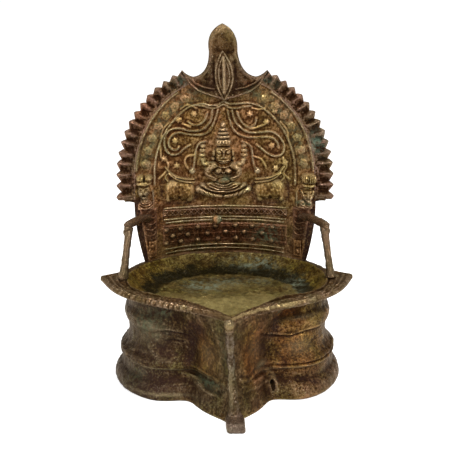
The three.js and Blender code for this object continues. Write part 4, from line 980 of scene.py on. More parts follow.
def sheetShell(x, z, level, under, keep):  # front and back sheet of the kept cells, with sides between them
    for turn in range(40):  # no two cells may touch at a corner alone
        a, b, c, d = keep[:-1, :-1], keep[:-1, 1:], keep[1:, :-1], keep[1:, 1:]
        first, second = a & d & ~b & ~c, b & c & ~a & ~d
        if not (first | second).any():
            break
        keep = keep.copy()
        keep[:-1, 1:] |= first
        keep[:-1, :-1] |= second
    rows, columns = x.shape
    number = np.arange(rows * columns).reshape(rows, columns)
    a, b, c, d = number[:-1, :-1], number[:-1, 1:], number[1:, 1:], number[1:, :-1]
    front = np.stack([a, b, c, d], -1)[keep]
    padded = np.pad(keep, 1)
    walls = []
    for start, stop, gone in ((a, b, ~padded[:-2, 1:-1]), (b, c, ~padded[1:-1, 2:]),
                              (c, d, ~padded[2:, 1:-1]), (d, a, ~padded[1:-1, :-2])):
        edge = keep & gone
        first, second = start[edge], stop[edge]
        walls.append(np.stack([second, first, first + rows * columns, second + rows * columns], -1))
    faces = np.vstack([front, front[:, ::-1] + rows * columns] + walls)
    points = np.vstack([laid(x, z, level).reshape(-1, 3), laid(x, z, under).reshape(-1, 3)])
    used = np.unique(faces)
    renumber = np.zeros(len(points), dtype=int)
    renumber[used] = np.arange(len(used))
    return points[used], renumber[faces]


def cutSheet(outline, step, height, under):  # sheet cut to an outline, its edge points moved onto the outline
    knots = np.array(outline, dtype=float)
    low, high = knots.min(0) - step, knots.max(0) + step
    x, z = np.meshgrid(np.arange(low[0], high[0] + step, step), np.arange(low[1], high[1] + step, step))
    following = np.roll(knots, -1, axis=0)
    inside = np.zeros(x.shape, dtype=bool)
    nearest = np.full(x.shape, 1e9)
    nearX, nearZ = x.copy(), z.copy()
    for (ax, az), (bx, bz) in zip(knots, following):
        crosses = (az > z) != (bz > z)
        if abs(bz - az) > 1e-9:
            inside ^= crosses & (x < (bx - ax) * (z - az) / (bz - az) + ax)
        t, distance = nearestOn(x, z, (ax, az), (bx, bz))
        closer = distance < nearest
        nearest = np.where(closer, distance, nearest)
        nearX, nearZ = np.where(closer, mix(ax, bx, t), nearX), np.where(closer, mix(az, bz, t), nearZ)
    some = inside[:-1, :-1] | inside[1:, :-1] | inside[:-1, 1:] | inside[1:, 1:]
    x, z = np.where(inside, x, nearX), np.where(inside, z, nearZ)
    depth = np.where(inside, nearest, 0)
    level = height(x, z, depth)
    return sheetShell(x, z, level, np.full(x.shape, float(under)), some)


# Round wire along (x, z) points
def laidWire(line, radius, level=None, seed=1, count=10, swell=0.10, pitch=0.6):
    knots = np.array(line, dtype=float)
    length = np.linalg.norm(np.diff(knots, axis=0), axis=1).sum()
    curve = curveThrough(knots, int(length / pitch) + 6)
    along = headings(curve)
    wide = radius * (1 + swell * castBumps(curve[:, 0], curve[:, 1], 5, seed))
    walked = np.linspace(0, length, len(curve))
    fromEnd = np.minimum(walked, length - walked)
    wide *= np.sqrt(np.clip(1 - (1 - np.clip(fromEnd / radius, 0, 1)) ** 2, 0.05, 1))
    turn = np.arange(count)[None, :] * fullTurn / count
    shift = wide[:, None] * np.cos(turn)
    x = curve[:, :1] - along[:, 1:] * shift
    z = curve[:, 1:] + along[:, :1] * shift
    height = (radius * 0.85 if level is None else level) + wide[:, None] * np.sin(turn)
    return closedTube(laid(x, z, height))


def plateHalfWidth(z):  # quarter sine wave up to the shoulder, quarter ellipse above the centre
    rise = np.clip((z - bowl["rimTop"]) / (plate["shoulderAt"] - bowl["rimTop"]), 0, 1)
    low = mix(plate["foot"], plate["shoulder"], np.sin(rise * math.pi / 2))
    above = np.clip((z - plate["centre"]) / plate["rise"], 0, 1)
    high = plate["half"] * np.sqrt(1 - above ** 2)
    return np.where(z <= plate["shoulderAt"], low, high)


# Lines that the wires on the plate follow, as (x, z)
outerArch, innerArch = (52.6, 57.5), (42, 46.5)


def archLine(arch, first, last, count, side):  # points of one side of an arch between two angles
    x, z = archPoint(*arch, np.linspace(first, last, count) * degree)
    return list(zip(side * x, z))


half = [(42, 102.5), (42, 106)] + archLine(innerArch, 6, 60, 6, 1)
browRight = [(15.4, 151.2), (10, 151.2), (4.8, 150.9), (1.4, 151.4), (-0.8, 152.4)]
browLeft = [(-4.1, 150.4), (-8.8, 150.1), (-13.5, 151.0)]
upper = half + browRight + browLeft + archLine(innerArch, 60, 6, 6, -1) + [(-42, 106), (-42, 102.5)]
lower = [(-17.4, 150.4), (-12.3, 149.5), (-7.6, 148.3), (-4.1, 149.0), (-0.8, 150.6), (2.4, 148.8),
         (6.0, 148.2), (11.3, 149.2), (16, 149.7)]

scrollLines = {
    "scroll_outer_left": [(-7.3, 148), (-8.2, 141.4), (-11.2, 137.2), (-14.8, 135.1), (-20.7, 134.9),
                          (-26.6, 136.4), (-31.3, 136.0), (-34.7, 133.3), (-35.8, 129.7), (-35.8, 126.1),
                          (-34.4, 122.4), (-31.5, 120.6), (-27.3, 121.3), (-24.3, 124.1), (-20.7, 126.4)],
    "scroll_inner_left": [(-4.1, 147.4), (-5.9, 141.4), (-8.8, 135.4), (-12.4, 132.7), (-18.3, 132.4),
                          (-23.1, 133.1), (-27.2, 133.8), (-30.8, 132.6), (-33.1, 129.6), (-33.2, 126),
                          (-30.9, 123.6), (-28.5, 123.8), (-27.3, 125.3)],
    "scroll_curl_left": [(-10.3, 145.6), (-12.4, 140.8), (-15.9, 138.4), (-18.9, 138.5), (-21.9, 140.3)],
    "scroll_outer_right": [(4.2, 147.2), (6, 140.7), (9, 137.1), (13.7, 134), (20.9, 133.8), (26.8, 134.3),
                           (31.6, 132), (34.6, 127.8), (35.2, 123.5), (33.6, 120.3), (29.9, 119.4),
                           (26.3, 120.6), (22.7, 123.2), (19.1, 126.2)],
    "scroll_inner_right": [(1.6, 147), (2.6, 142.5), (4.6, 136.5), (7.8, 132.9), (12.6, 131), (18.5, 130.7),
                           (24.5, 131), (28.6, 130.1), (31.4, 127.5), (31.8, 124.6)],
    "scroll_curl_right": [(7.2, 146.2), (8.9, 141.9), (11.5, 138.4), (14.9, 136.9), (17.9, 138.9),
                          (18.6, 142.4)],
}
haloLines = {"left": [(-11.2, 128.4), (-14.8, 127.4), (-16.9, 124.2), (-17.8, 118.5), (-18.6, 112.6)],
             "right": [(10.2, 128.3), (14.4, 126.2), (16.2, 123.1), (16.8, 117), (18.3, 111.2)]}
outerLines = [[(side * 52.7, 111.2)] + archLine(outerArch, 5, 58.6, 9, side) for side in (-1, 1)]
plateLines = [upper, lower, *outerLines, *scrollLines.values(), *haloLines.values()]

blossoms = [(-27.5, 141.6), (-29.6, 129.0), (-36.3, 118.2), (-28.6, 113.8), (14.9, 144.9), (24.7, 140.1),
            (27.8, 125.6), (35.9, 115.4), (-18.3, 145.1), (30.5, 112), (-30, 147.5), (29.5, 146.5)]
backdropLines = [
    [(-18.4, 120.3), (-22.6, 119.2), (-23.8, 116.1), (-22.0, 111.8)],
    [(18, 118.9), (21.6, 117.7), (24, 114), (24.6, 112.2)],
    [(-35.1, 117.6), (-33.6, 113.9), (-35.8, 109.8), (-39.4, 106.3)],
    [(34.6, 118.2), (36.8, 113.4), (35.2, 109.2), (38.6, 105.6)], [(-24.8, 139.1), (-20.7, 137.3)],
    [(23.2, 138.3), (18.5, 136.5), (14.9, 135.9)], [(-38.5, 126), (-38, 119)],
    [(-33, 140), (-36.5, 136), (-38, 131)], [(33, 140), (36.8, 135), (38, 129)],
    [(-26, 148), (-22, 150.4), (-17, 148.6)], [(24, 148.4), (20, 147.6), (16, 148.4)],
]


def wireDistance(x, z):  # from the nearest wire on the plate
    nearest = np.full(x.shape, 99.0)
    for line in plateLines:
        nearest = np.minimum(nearest, lineDistance(x, z, curveThrough(line, 5 * len(line)))[0])
    return nearest


def blossomHeight(x, z, x0, z0, petals=6):  # lobed dome with a bud in the middle
    away, turn = np.hypot(x - x0, z - z0), np.arctan2(z - z0, x - x0)
    reach = 2.1 * (0.84 + 0.16 * np.cos(petals * turn + x0))
    return np.maximum(rounded(1 - (away / reach) ** 2, 0.85), cap(x, z, (x0, z0), (0.6, 0.6), 1.2))


def backdrop(x, z):  # leaf work, soft banks beside the wires, pits and unevenness of the casting
    level = (0.2 * castBumps(x, z, 13, 21) + 0.14 * castBumps(x, z, 6, 22)
             + 0.07 * castBumps(x, z, 3, 23) - 0.25)
    for line in backdropLines:
        level = level + ridge(x, z, line, 0.6, 0.85)
    for spot in blossoms:
        level = np.maximum(level, blossomHeight(x, z, *spot))
    near = wireDistance(x, z)
    return np.minimum(level + 0.35 * hill(near, 0, 0.9) - 0.15 * hill(near, 1.25, 0.5), 1.0)


def backPlateShell():  # front with leaf work, back with soft waves, both over height by half width
    low = np.linspace(bowl["rimTop"], plate["shoulderAt"], 96)
    middle = np.linspace(plate["shoulderAt"] + 0.4, plate["centre"], 40)
    high = plate["centre"] + plate["rise"] * np.sin(np.linspace(0, 1.42, 154)[1:])
    z = np.concatenate([low, middle, high])[:, None]
    across = np.sin(np.linspace(-1, 1, 297) * 0.8)[None, :] / math.sin(0.8)
    x = (plateHalfWidth(z) - 0.12) * across
    z = z + x * 0
    edge = smoothStep(1 - np.abs(across), 0, 0.02)
    front = laid(x, z, backdrop(x, z) * edge - 0.2 * (1 - edge))
    x, z = x[::4, ::4], z[::4, ::4]
    back = laid(x, z, -plate["thick"] + 0.12 + 0.1 * castBumps(x, z, 18, 24))
    return slab(front, back, 4)


# Painted shade beside the wires, round the elephants and low at the sides, darker toward the bottom, bright
# on the leaves
def platePaint(x, y, z):
    front = y < plateFront(x, z) + 1.4
    beside, fromArch = np.abs(x), np.hypot(x, (z - plate["centre"]) * 0.9)
    damp = 0.8 * hill(x, 24, 9) * hill(z, 70, 7) + 0.5 * hill(x, -14, 10) * hill(z, 60, 5)
    damp += 0.35 * hill(fromArch, 47, 4) * (z > 112)
    leaves = sum(hill(np.hypot(x - x0, z - z0), 0, 2.2) for x0, z0 in blossoms)
    leaves += sum(hill(lineDistance(x, z, curveThrough(line, 14))[0], 0, 0.7) for line in backdropLines)
    leaves = np.clip(leaves, 0, 1)
    # 1 on an elephant's outline
    around = (np.abs((beside - 27.4) / 9.4) ** 3 + np.abs((z - 98.6) / 6.8) ** 3) ** (1 / 3)
    # Painted shade beside the wires and round the elephants; darker toward the bottom
    stain = (0.35 * hill(wireDistance(x, z), 1.05, 0.4) + 0.3 * smoothStep(92 - z, 0, 6)
             + 0.85 * hill(around, 1.14, 0.15))
    # Darker along the rosettes' arch; painted shade on the low sides
    stain += (0.3 * hill(fromArch, 47.5, 3) * (z > 110)
              + 1.5 * smoothStep(beside, 45, 47.5) * smoothStep(99 - z, 0, 8))
    behind = 0.25 + 0.25 * smoothStep(beside / (plateHalfWidth(z) + 1), 0.9, 0.97)
    red = 0.12 + 0.1 * hill(beside, 47, 8) * hill(z, 80, 14) + 0.3 * hill(x, -33, 12)
    red += 0.3 * hill(x, 14, 9) * hill(z, 116, 9)
    # Less wear kept on the low sides under their painted shade
    low = smoothStep(beside, 45, 47) * smoothStep(99 - z, 0, 8)
    return {"stain": np.where(front, np.clip(stain, 0, 1.4), behind),
            "rubbed": np.where(front, 1 - 0.8 * low, 0.1), "green": damp * front,
            "gold": np.where(front & (z > 92), 0.1 + 0.25 * leaves, 0), "pale": 0.08 * leaves * front,
            "copper": np.where(front, red * (1 - leaves), 0.2)}


addPiece("backPlate", backPlateShell(), brass["plate"], ["back_plate"],
         wearReach=1.4, paint=platePaint, sharp=70)
print("back plate")

# Flame-toothed border: a bright ridge runs out to each hooked tooth, with a hollow between
border = {"tipHalf": 64.6, "tipRise": 67, "wide": 10.7, "foot": 96, "pitch": 6.35, "teeth": 15, "deep": 2.6,
          "top": 2.9}


# Straight up to the plate's centre, then along an ellipse that shrinks with the inset
def borderPoint(distance, inset):
    share = inset / border["wide"]
    half = border["tipHalf"] - inset
    rise = mix(border["tipRise"], outerArch[1] + 1.3, share)
    upright = plate["centre"] - border["foot"]
    angle = np.maximum(distance - upright, 0) / ((border["tipHalf"] + border["tipRise"]) / 2)
    z = np.where(distance < upright, border["foot"] + distance, plate["centre"] + rise * np.sin(angle))
    return half * np.cos(angle), z


# Each tooth's notch goes with a power of the way from its ridge, its height with a sine
def borderShell(side):
    last = (border["teeth"] - 1) * border["pitch"]
    distance = np.linspace(-1.4, last + 1.2, border["teeth"] * 24)[:, None]
    inward = np.linspace(0, 1, 36)[None, :]
    seed = 31 if side < 0 else 32
    number = np.round(distance / border["pitch"])
    # 0 and 1 in the gaps, its ridge a little above the middle
    share = distance / border["pitch"] - number + 0.5
    uneven = 1 + 0.2 * np.sin(number * 1.7 + seed)
    notch = border["deep"] * uneven * (np.abs(2 * share ** 1.2 - 1) ** 1.25)
    inset = notch + (border["wide"] + 0.6 - notch) * inward
    out = np.clip(1 - inset / border["wide"], 0, 1)
    x, z = borderPoint(np.clip(distance + 0.7 * out ** 2, -1.4, last + 1.6), inset)
    fat = np.sin(math.pi * share ** (1.5 + 0.3 * np.sin(number * 2.9))) ** 1.3
    taperEnd = border["wide"] * (0.62 + 0.1 * np.sin(number * 2.1 + seed))
    taper = smoothStep(inset, border["wide"] * 0.95, taperEnd)
    rise = 0.75 + 0.25 * smoothStep(out, 0.3, 0.6)
    level = 0.45 + (1.9 * fat + 0.5 * hill(share, 0.66, 0.08)) * taper * rise
    level += 0.25 * hill(inset, border["wide"] - 1.4, 0.8) * (1 - taper)
    edge = smoothStep(inset - notch, -0.2, 1.1) * smoothStep(distance, -1.4, -0.6)
    level = mix(0.25, level, edge)
    level = np.where(finialRoom(x, z), np.minimum(level, 0.2), level)
    x = side * x
    level = level + 0.12 * castBumps(x, z, 3.4, seed) + 0.08 * castBumps(x, z, 1.7, seed + 5)
    front = laid(x, z, np.minimum(level, border["top"]))
    back = laid(x, z, -0.9 + 0.1 * castBumps(x, z, 9, seed))
    return slab(front, back)


def finialRoom(x, z):  # under the finial's horn the border lies low
    return (z > 158) & (x < 25.5) & (z > 157.5 + (x - 15) * 1.1)


def borderPaint(x, y, z):  # copper on the upper left, verdigris on the right and beside the finial
    crust = 0.7 * hill(x, 56, 6) * hill(z, 128, 6) + 0.4 * hill(np.abs(x), 22, 8) * hill(z, 164, 5)
    copper = 0.2 + 0.6 * hill(x, -50, 7) * hill(z, 148, 9)
    return {"green": crust, "stain": 0.3 * hill(np.abs(x), 54.5, 2.2), "copper": copper, "gold": 0.15}


for side, word in sides:
    addPiece("flameBorder_" + word, borderShell(side), brass["border"], ["flame_border_" + word],
             wearReach=0.9, paint=borderPaint, sharp=75)
print("flame border")

# Hood finial with its horns, and the eye-shaped leaf
hood = {"top": (0, 198.4), "neck": (8.4, 182), "trough": (18.4, 167.2), "horn": (25.4, 171.2),
        "belly": (15, 157.6), "foot": (0, 153), "thick": 3.0, "lean": -1.5}
eye = {"outer": (5.0, 153.8, 182.4), "inner": (3.1, 157, 179.6), "outerWire": 0.55, "innerWire": 0.42,
       "level": 3.5}


def finialLean(z):  # the tip stands a little to the left
    return hood["lean"] * smoothStep(z, 162, 194)


def finialOutline():  # five quadratic curves up the right side and their mirror image, shifted by the lean
    right = np.vstack([
        bendPoints(hood["foot"], (9, 155.5), hood["belly"], 10)[:-1],
        bendPoints(hood["belly"], (22, 160.5), hood["horn"], 16)[:-1],
        bendPoints(hood["horn"], (21.5, 167.6), hood["trough"], 8)[:-1],
        bendPoints(hood["trough"], (9.4, 168.6), hood["neck"], 18)[:-1],
        bendPoints(hood["neck"], (9.8, 194), hood["top"], 22)[:-1],
    ])
    outline = np.vstack([right, hood["top"], right[:0:-1] * np.array([-1, 1])])
    outline[:, 0] += finialLean(outline[:, 1])
    return outline


# Raised lines along the neck, under the horns and inside them, with height and width
hornLines = [([(7.9, 177), (9.6, 171.4), (12.6, 168.6), (17.6, 166.6)], 0.8, 0.55),
             ([(2, 154.4), (9, 156.4), (15.5, 159.2), (20.5, 163), (23.6, 168.6)], 0.9, 0.6),
             ([(6.5, 160.2), (12, 161.2), (17.4, 163.6), (21.6, 167.4)], 0.7, 0.45)]


def hoodShell():  # rounded at the edge by a quarter circle, with a dome at the top
    def height(x, z, depth):  # depth is the distance in from the outline
        middle = x - finialLean(z)
        across = np.abs(middle)
        edge = 1 - (1 - np.clip(depth / 1.6, 0, 1)) ** 2
        level = 0.9 + (hood["thick"] - 0.5) * np.sqrt(edge)
        dome = rounded(1 - (middle / 8.8) ** 2 - ((z - 188) / 11.5) ** 2, 3.6)
        level = np.where(z > 172, blend([level, 1.2 + dome * smoothStep(z, 172, 188)], 0.5), level)
        for line, top, width in hornLines:
            level += top * hill(lineDistance(across, z, line)[0], 0, width) * (z < 178)
        level -= 0.5 * hill(across, 6.2, 1.2) * hill(z, 170, 8)
        level += 0.12 * castBumps(x, z, 4, 41) + 0.1 * castBumps(x, z, 9, 42)
        return np.clip(level, 0.5, 7.0)
    return cutSheet(finialOutline(), 0.36, height, 0.1)


def hoodPaint(x, y, z):  # golder dome top, painted highlight and rubbed metal, verdigris under the horns and dark neck
    # Gold rising up the dome: painted highlight and rubbed metal
    return {"gold": 0.35 * smoothStep(z, 176, 186),
            "green": 0.8 * hill(np.abs(x + 1), 17, 4) * hill(z, 157, 3),
            "copper": 0.6 * hill(np.abs(x + 1.5), 15, 3) * hill(z, 163, 2.5) + 0.2,
            "stain": 0.4 * hill(np.abs(x + 0.7), 7, 2) * hill(z, 166, 8)}


addPiece("hoodFinial", hoodShell(), brass["hood"], ["hood_finial"], wearReach=1.3, paint=hoodPaint, sharp=60)


def almond(half, low, high, count=40):  # two quadratic curves between the lower and the upper point
    middle = (low + high) / 2
    one = bendPoints((0, low), (2 * half, middle), (0, high), count)
    other = bendPoints((0, high), (-2 * half, middle), (0, low), count)[1:-1]
    return np.vstack([one, other])


def ringWire(outline, radius, level, count=8):  # closed round wire through an outline of (x, z) points
    along = np.roll(outline, -1, axis=0) - np.roll(outline, 1, axis=0)
    along /= np.linalg.norm(along, axis=1)[:, None]
    turn = np.arange(count)[None, :] * fullTurn / count
    shift = radius * np.cos(turn)
    x = outline[:, :1] - along[:, 1:] * shift
    z = outline[:, 1:] + along[:, :1] * shift
    return closedRing(laid(x, z, level + radius * np.sin(turn)))


def eyeShell():  # two almond wires, a rib between them and a few grains beside
    base = eye["level"]
    outer, inner = almond(*eye["outer"]), almond(*eye["inner"])
    for line in (outer, inner):
        line[:, 0] += finialLean(line[:, 1]) - 0.4
    rib = laidWire([(-0.6, 156.8), (-0.5, 163), (-0.6, 171), (-1.0, 180)], 1.05, base + 0.4, seed=3)
    dots = [ball((x, plateFront(x, z) - 3.9, z), (0.55, 0.6, 0.6), 8, 10)
            for x, z in ((-7.4, 179.3), (-7.8, 176.1), (-8.8, 173.6), (-9.6, 170.3), (-5.3, 157.4),
                         (4.4, 156.8))]
    rings = [ringWire(outer, eye["outerWire"], base + 0.25), ringWire(inner, eye["innerWire"], base + 0.2)]
    return joinShells(rings + [rib] + dots)


def eyePaint(x, y, z):  # a little darker away from the rib
    return {"stain": 0.35 + 0.1 * smoothStep(np.abs(x + 0.8), 0.8, 2)}


addPiece("eyeLeaf", eyeShell(), brass["wire"], ["eye_leaf"], wearReach=0.7, paint=eyePaint)
print("finial")

# Wires on the plate: radius of each kind
wireRadius = {"outerArch": 0.5, "upper": 0.52, "lower": 0.45, "outerScroll": 0.52, "scroll": 0.46,
              "halo": 0.46}
for line, word in zip(outerLines, ("left", "right")):
    addPiece("outerArchWire_" + word, laidWire(line, wireRadius["outerArch"], seed=4), brass["wire"],
             ["outer_arch_wire_" + word], wearReach=0.8)
innerWires = [laidWire(upper, wireRadius["upper"], seed=6), laidWire(lower, wireRadius["lower"], 0.5, seed=7)]
addPiece("innerArchWire", joinShells(innerWires), brass["wire"], ["inner_arch_wire"], wearReach=0.8)

for node, line in scrollLines.items():
    radius = wireRadius["outerScroll" if "outer" in node else "scroll"]
    addPiece(node.replace("scroll", "scrollWire"), laidWire(line, radius, seed=len(node)), brass["wire"],
             [node], wearReach=0.8)

for side, word in sides:
    vase = ball((side * 19.5, plateFront(side * 19.5, 110.4) - 1.0, 110.4), (1.8, 1.5, 1.9))
    neck = ball((side * 19.0, plateFront(side * 19, 112.2) - 0.9, 112.2), (1.1, 1.0, 0.7), 8, 12)
    stem = laidWire(haloLines[word], wireRadius["halo"], seed=9)
    addPiece("haloWire_" + word, joinShells([stem, vase, neck]), brass["wire"], ["halo_wire_" + word],
             wearReach=0.8)
print("wires")


# Rosettes between the arch wires
rosette = {"arch": (47.3, 52), "first": 7, "last": 60, "count": 7, "radius": 2.8, "top": 1.5,
           "bud": (1.0, 2.1)}


# Five petals by the cosine of five times the angle, parted by bells, and a bud
def rosetteShell(x0, z0, seed):
    def height(x, z):  # away and turn are measured from the rosette's middle
        away, turn = np.hypot(x - x0, z - z0), np.arctan2(z - z0, x - x0)
        reach = rosette["radius"] * (0.92 + 0.08 * np.cos(5 * turn + seed)
                                     + 0.08 * np.sin(2 * turn + 2 * seed))
        gaps = 0.3 * hill(np.sin(2.5 * turn + seed / 2) * away, 0, 0.35)
        bud, budTop = rosette["bud"]
        petals = rounded(1 - (away / reach) ** 2, rosette["top"]) - gaps
        return blend([petals, cap(x, z, (x0, z0), (bud, bud), budTop)], 0.2)
    return reliefShell((x0 - 2.9, x0 + 2.9), (z0 - 2.9, z0 + 2.9), 0.2, height)


def rosettePaint(x, y, z):  # a little verdigris low on the arch
    return {"gold": 0.2, "green": 0.2 + 0.2 * hill(np.abs(x), 44, 9) * (z < 140), "pale": 0.08}


for side, word in sides:
    for number in range(rosette["count"]):
        turn = mix(rosette["first"], rosette["last"], number / (rosette["count"] - 1)) * degree
        x, z = archPoint(*rosette["arch"], turn)
        node = "rosette_" + word + "_" + str(number + 1)
        addPiece(node, rosetteShell(side * x, z, number + 2 * side), brass["plate"], [node], wearReach=0.8,
                 paint=rosettePaint)
print("rosettes")


# Figures: domes (centre, radii, height, power), limbs (line, radius, height, end radius), lines and dots,
# which are raised, or cut in where their height is below nought
def figureHeight(x, z, form):  # smooth highest of the domes and limbs, with the lines and dots added
    parts = [cap(x, z, *dome) for dome in form["domes"]] + [strand(x, z, *limb) for limb in form["limbs"]]
    level = blend(parts, form["soft"])
    for line in form["lines"]:
        level += ridge(x, z, *line)
    for dot in form["dots"]:
        level += button(x, z, *dot)
    return level


# Each (points, ...) once on either side of the middle, points given as distances from it
def bothSides(middle, marks):
    return [([(middle + side * across, up) for across, up in points], *rest) for side in (-1, 1)
            for points, *rest in marks]


# The same for spots, given as (across, up, radii, height)
def bothSpots(middle, spots):
    return [((middle + side * across, up), radii, top)
            for side in (-1, 1) for across, up, radii, top in spots]


goddess = {"middle": -0.9, "face": -0.8, "span": ((-18.6, 17.0), (91.6, 140.6)), "step": 0.23, "soft": 0.16}
goddess["domes"] = [
    ((-1, 138.4), (1.7, 2.2), 2.9), ((-1, 135.6), (2.9, 1.3), 2.7), ((-1, 133.4), (3.7, 1.4), 3.1),
    ((-1, 131.2), (4.3, 1.5), 3.5), ((-1, 127.8), (4.9, 2.7), 3.5, 3), ((-0.8, 120.6), (5.3, 6.2), 4.6, 2.3),
    ((-0.9, 110.4), (8.6, 7.2), 2.9, 2.6), ((-8.2, 113), (3.4, 2.8), 3.2), ((6.6, 113), (3.4, 2.8), 3.2),
    ((-3.9, 110.8), (2.5, 2.4), 5.0), ((2.1, 110.8), (2.5, 2.4), 5.0), ((-0.9, 104.4), (4.8, 2.8), 3.1),
    ((-0.9, 99.6), (12.6, 4.2), 2.3, 2.6),
]
goddess["domes"] += bothSpots(goddess["middle"], [
    (12.2, 125.6, (1.7, 1.3), 1.5), (12.4, 122.8, (2.0, 1.3), 1.6), (12.6, 120.0, (2.1, 1.3), 1.6),
    (12.2, 117.4, (1.6, 1.2), 1.5), (5.6, 121.4, (1.1, 2.4), 3.0), (6, 118, (1.2, 1.2), 2.8)])
goddess["limbs"] = bothSides(goddess["middle"], [
    ([(5.4, 113.8), (8.8, 111.4), (8.6, 108.2), (5.2, 105.6)], 2.7, 4.1, 2.0),  # forearm to the belly
    ([(7.6, 114.2), (11, 114.8), (12.2, 117.2)], 1.7, 2.0, 1.4),
    ([(14.6, 99.0), (9.6, 96.6), (5, 95.2), (1.6, 94.6)], 2.3, 3.5, 1.5),  # crossed legs
    ([(12.6, 101.8), (8, 98.8), (2, 97.4)], 1.5, 3.3, 1.2),
])
goddess["lines"] = bothSides(goddess["face"], [
    ([(0, 122.2), (1.4, 124.0), (4.2, 124.4)], 0.38, 0.6),  # brow
    ([(1.4, 121.6), (2.9, 121.1), (4.4, 121.8)], 0.28, -0.45),  # lower lid
]) + bothSides(goddess["middle"], [
    ([(across - 2.4, up - 0.8), (across + 2.4, up + 0.8)], 0.36, 0.35, 6)  # bangles
    for across, up in ((8.8, 110.4), (7.4, 107.4), (5.8, 106.4))
]) + bothSides(goddess["middle"], [
    # Folds over the legs
    ([(5 + 2.6 * k, 92.6 + 0.8 * k), (6.6 + 2.6 * k, 97 + 0.5 * k)], 0.3, -0.45, 6) for k in range(4)
]) + [
    ([(-0.8, 123.2), (-0.8, 119.2)], 0.6, 1.1),  # nose and lips
    ([(-3.8, 117.3), (-0.8, 116.9), (2.4, 117.3)], 0.36, 0.55),
    ([(-3.2, 115.9), (-0.8, 115.5), (1.8, 115.9)], 0.34, 0.5),
    ([(-3.4, 116.6), (-0.8, 116.2), (2.0, 116.6)], 0.25, -0.5),
    ([(-6.8, 115.6), (-4.2, 113.6), (-0.9, 112.8), (2.4, 113.6), (5, 115.6)], 0.42, 0.7),  # necklaces
    ([(-3, 113.5), (-0.9, 109.2), (1.2, 113.5)], 0.35, 0.6),
]
for fold in range(4):  # folds of the skirt, one inside the other
    wide, low, up = 4.6 + 1.9 * fold, 101.6 - 1.25 * fold, 1.5 + 0.25 * fold
    bends = ((-1, up), (-0.5, 0.3), (0, 0), (0.5, 0.3), (1, up))
    hem = [(goddess["middle"] + share * wide, low + lift) for share, lift in bends]
    goddess["lines"].append((hem, 0.4, 0.85))
goddess["dots"] = [((-4.5 + 1.8 * k, 127.9), (0.75, 0.8), 0.6) for k in range(5)]
goddess["dots"] += bothSpots(goddess["face"], [(2.9, 122.3, (1.45, 0.85), 0.55),
                                               (1.1, 118.9, (0.8, 0.6), 0.5)])
# Height and half width of each groove
goddess["crownBands"] = ((134.6, 3.2), (132.4, 3.8), (130, 4.4), (125.4, 4.7))


def goddessHeight(x, z):  # the figure with grooves across its crown
    level = figureHeight(x, z, goddess) + 0.09 * castBumps(x, z, 2.0, 51) - 0.05
    for up, half in goddess["crownBands"]:
        level -= 0.7 * hill(z, up, 0.35) * (np.abs(x - goddess["middle"]) < half)
    return level


def goddessPaint(x, y, z):  # verdigris on the lap, gold on the face, painted shadow under the bust
    return {"green": 0.85 * hill(x, -1, 4.2) * hill(z, 104.8, 2.8), "gold": 0.2 + 0.2 * hill(z, 121, 6),
            # Painted shadow under the bust
            "stain": 0.5 * hill(z, 108, 1.2) * hill(x, -0.9, 7), "copper": 0.1 * hill(z, 111, 5)}


shell = reliefShell(*goddess["span"], goddess["step"], goddessHeight)
addPiece("goddess", shell, brass["figure"], ["goddess"], wearReach=0.9, paint=goddessPaint)
print("seated figure")

# Elephants with raised trunks, given for the right side
elephant = {
    "across": (17.4, 36.2), "up": (91.8, 113.8), "step": 0.22, "soft": 0.35, "lines": [], "dots": [],
    "domes": [((27.2, 98.6), (8.8, 5.8), 3.0, 2.8), ((31.2, 99.6), (4.6, 5.6), 3.9, 2.2),
              ((22.4, 98.4), (4.2, 4.8), 3.5, 2.2)],
    "limbs": [([(34.0, 104.6), (35.5, 106.6), (34.6, 108.8)], 0.6, 1.6, 0.5),
              ([(21.2, 97), (21.1, 93.2)], 1.9, 2.6), ([(33.6, 97), (33.8, 93.4)], 1.7, 2.6),
              ([(35.4, 113.0), (32.2, 109.2), (27.4, 106.6), (22.8, 105.6), (18.6, 105.4)],
               0.62, 1.9, 0.6, 30),
              ([(33.6, 109.4), (29.4, 106.0), (24.6, 104.2), (18.4, 103.4)], 0.62, 2.2, 0.6, 30)],
}


def elephantHeight(x, z, side):  # the figure less the gap between its legs
    gap = 1.3 * hill(side * x, 27.2, 1.3) * smoothStep(96.5 - z, 0, 2.5)
    return figureHeight(side * x, z, elephant) - gap + 0.12 * castBumps(x, z, 2.6, 61)


def elephantPaint(x, y, z):  # copper across the belly, dark at the feet
    return {"gold": 0.3, "copper": 0.3 * hill(z, 98, 3), "stain": 0.5 * hill(z, 93, 1.6)}


for side, word in sides:
    span = sorted(side * across for across in elephant["across"])
    shell = reliefShell(span, elephant["up"], elephant["step"],
                        lambda x, z, side=side: elephantHeight(x, z, side))
    addPiece("elephant_" + word, shell, brass["beast"], ["elephant_" + word], wearReach=0.9,
             paint=elephantPaint)
print("elephants")

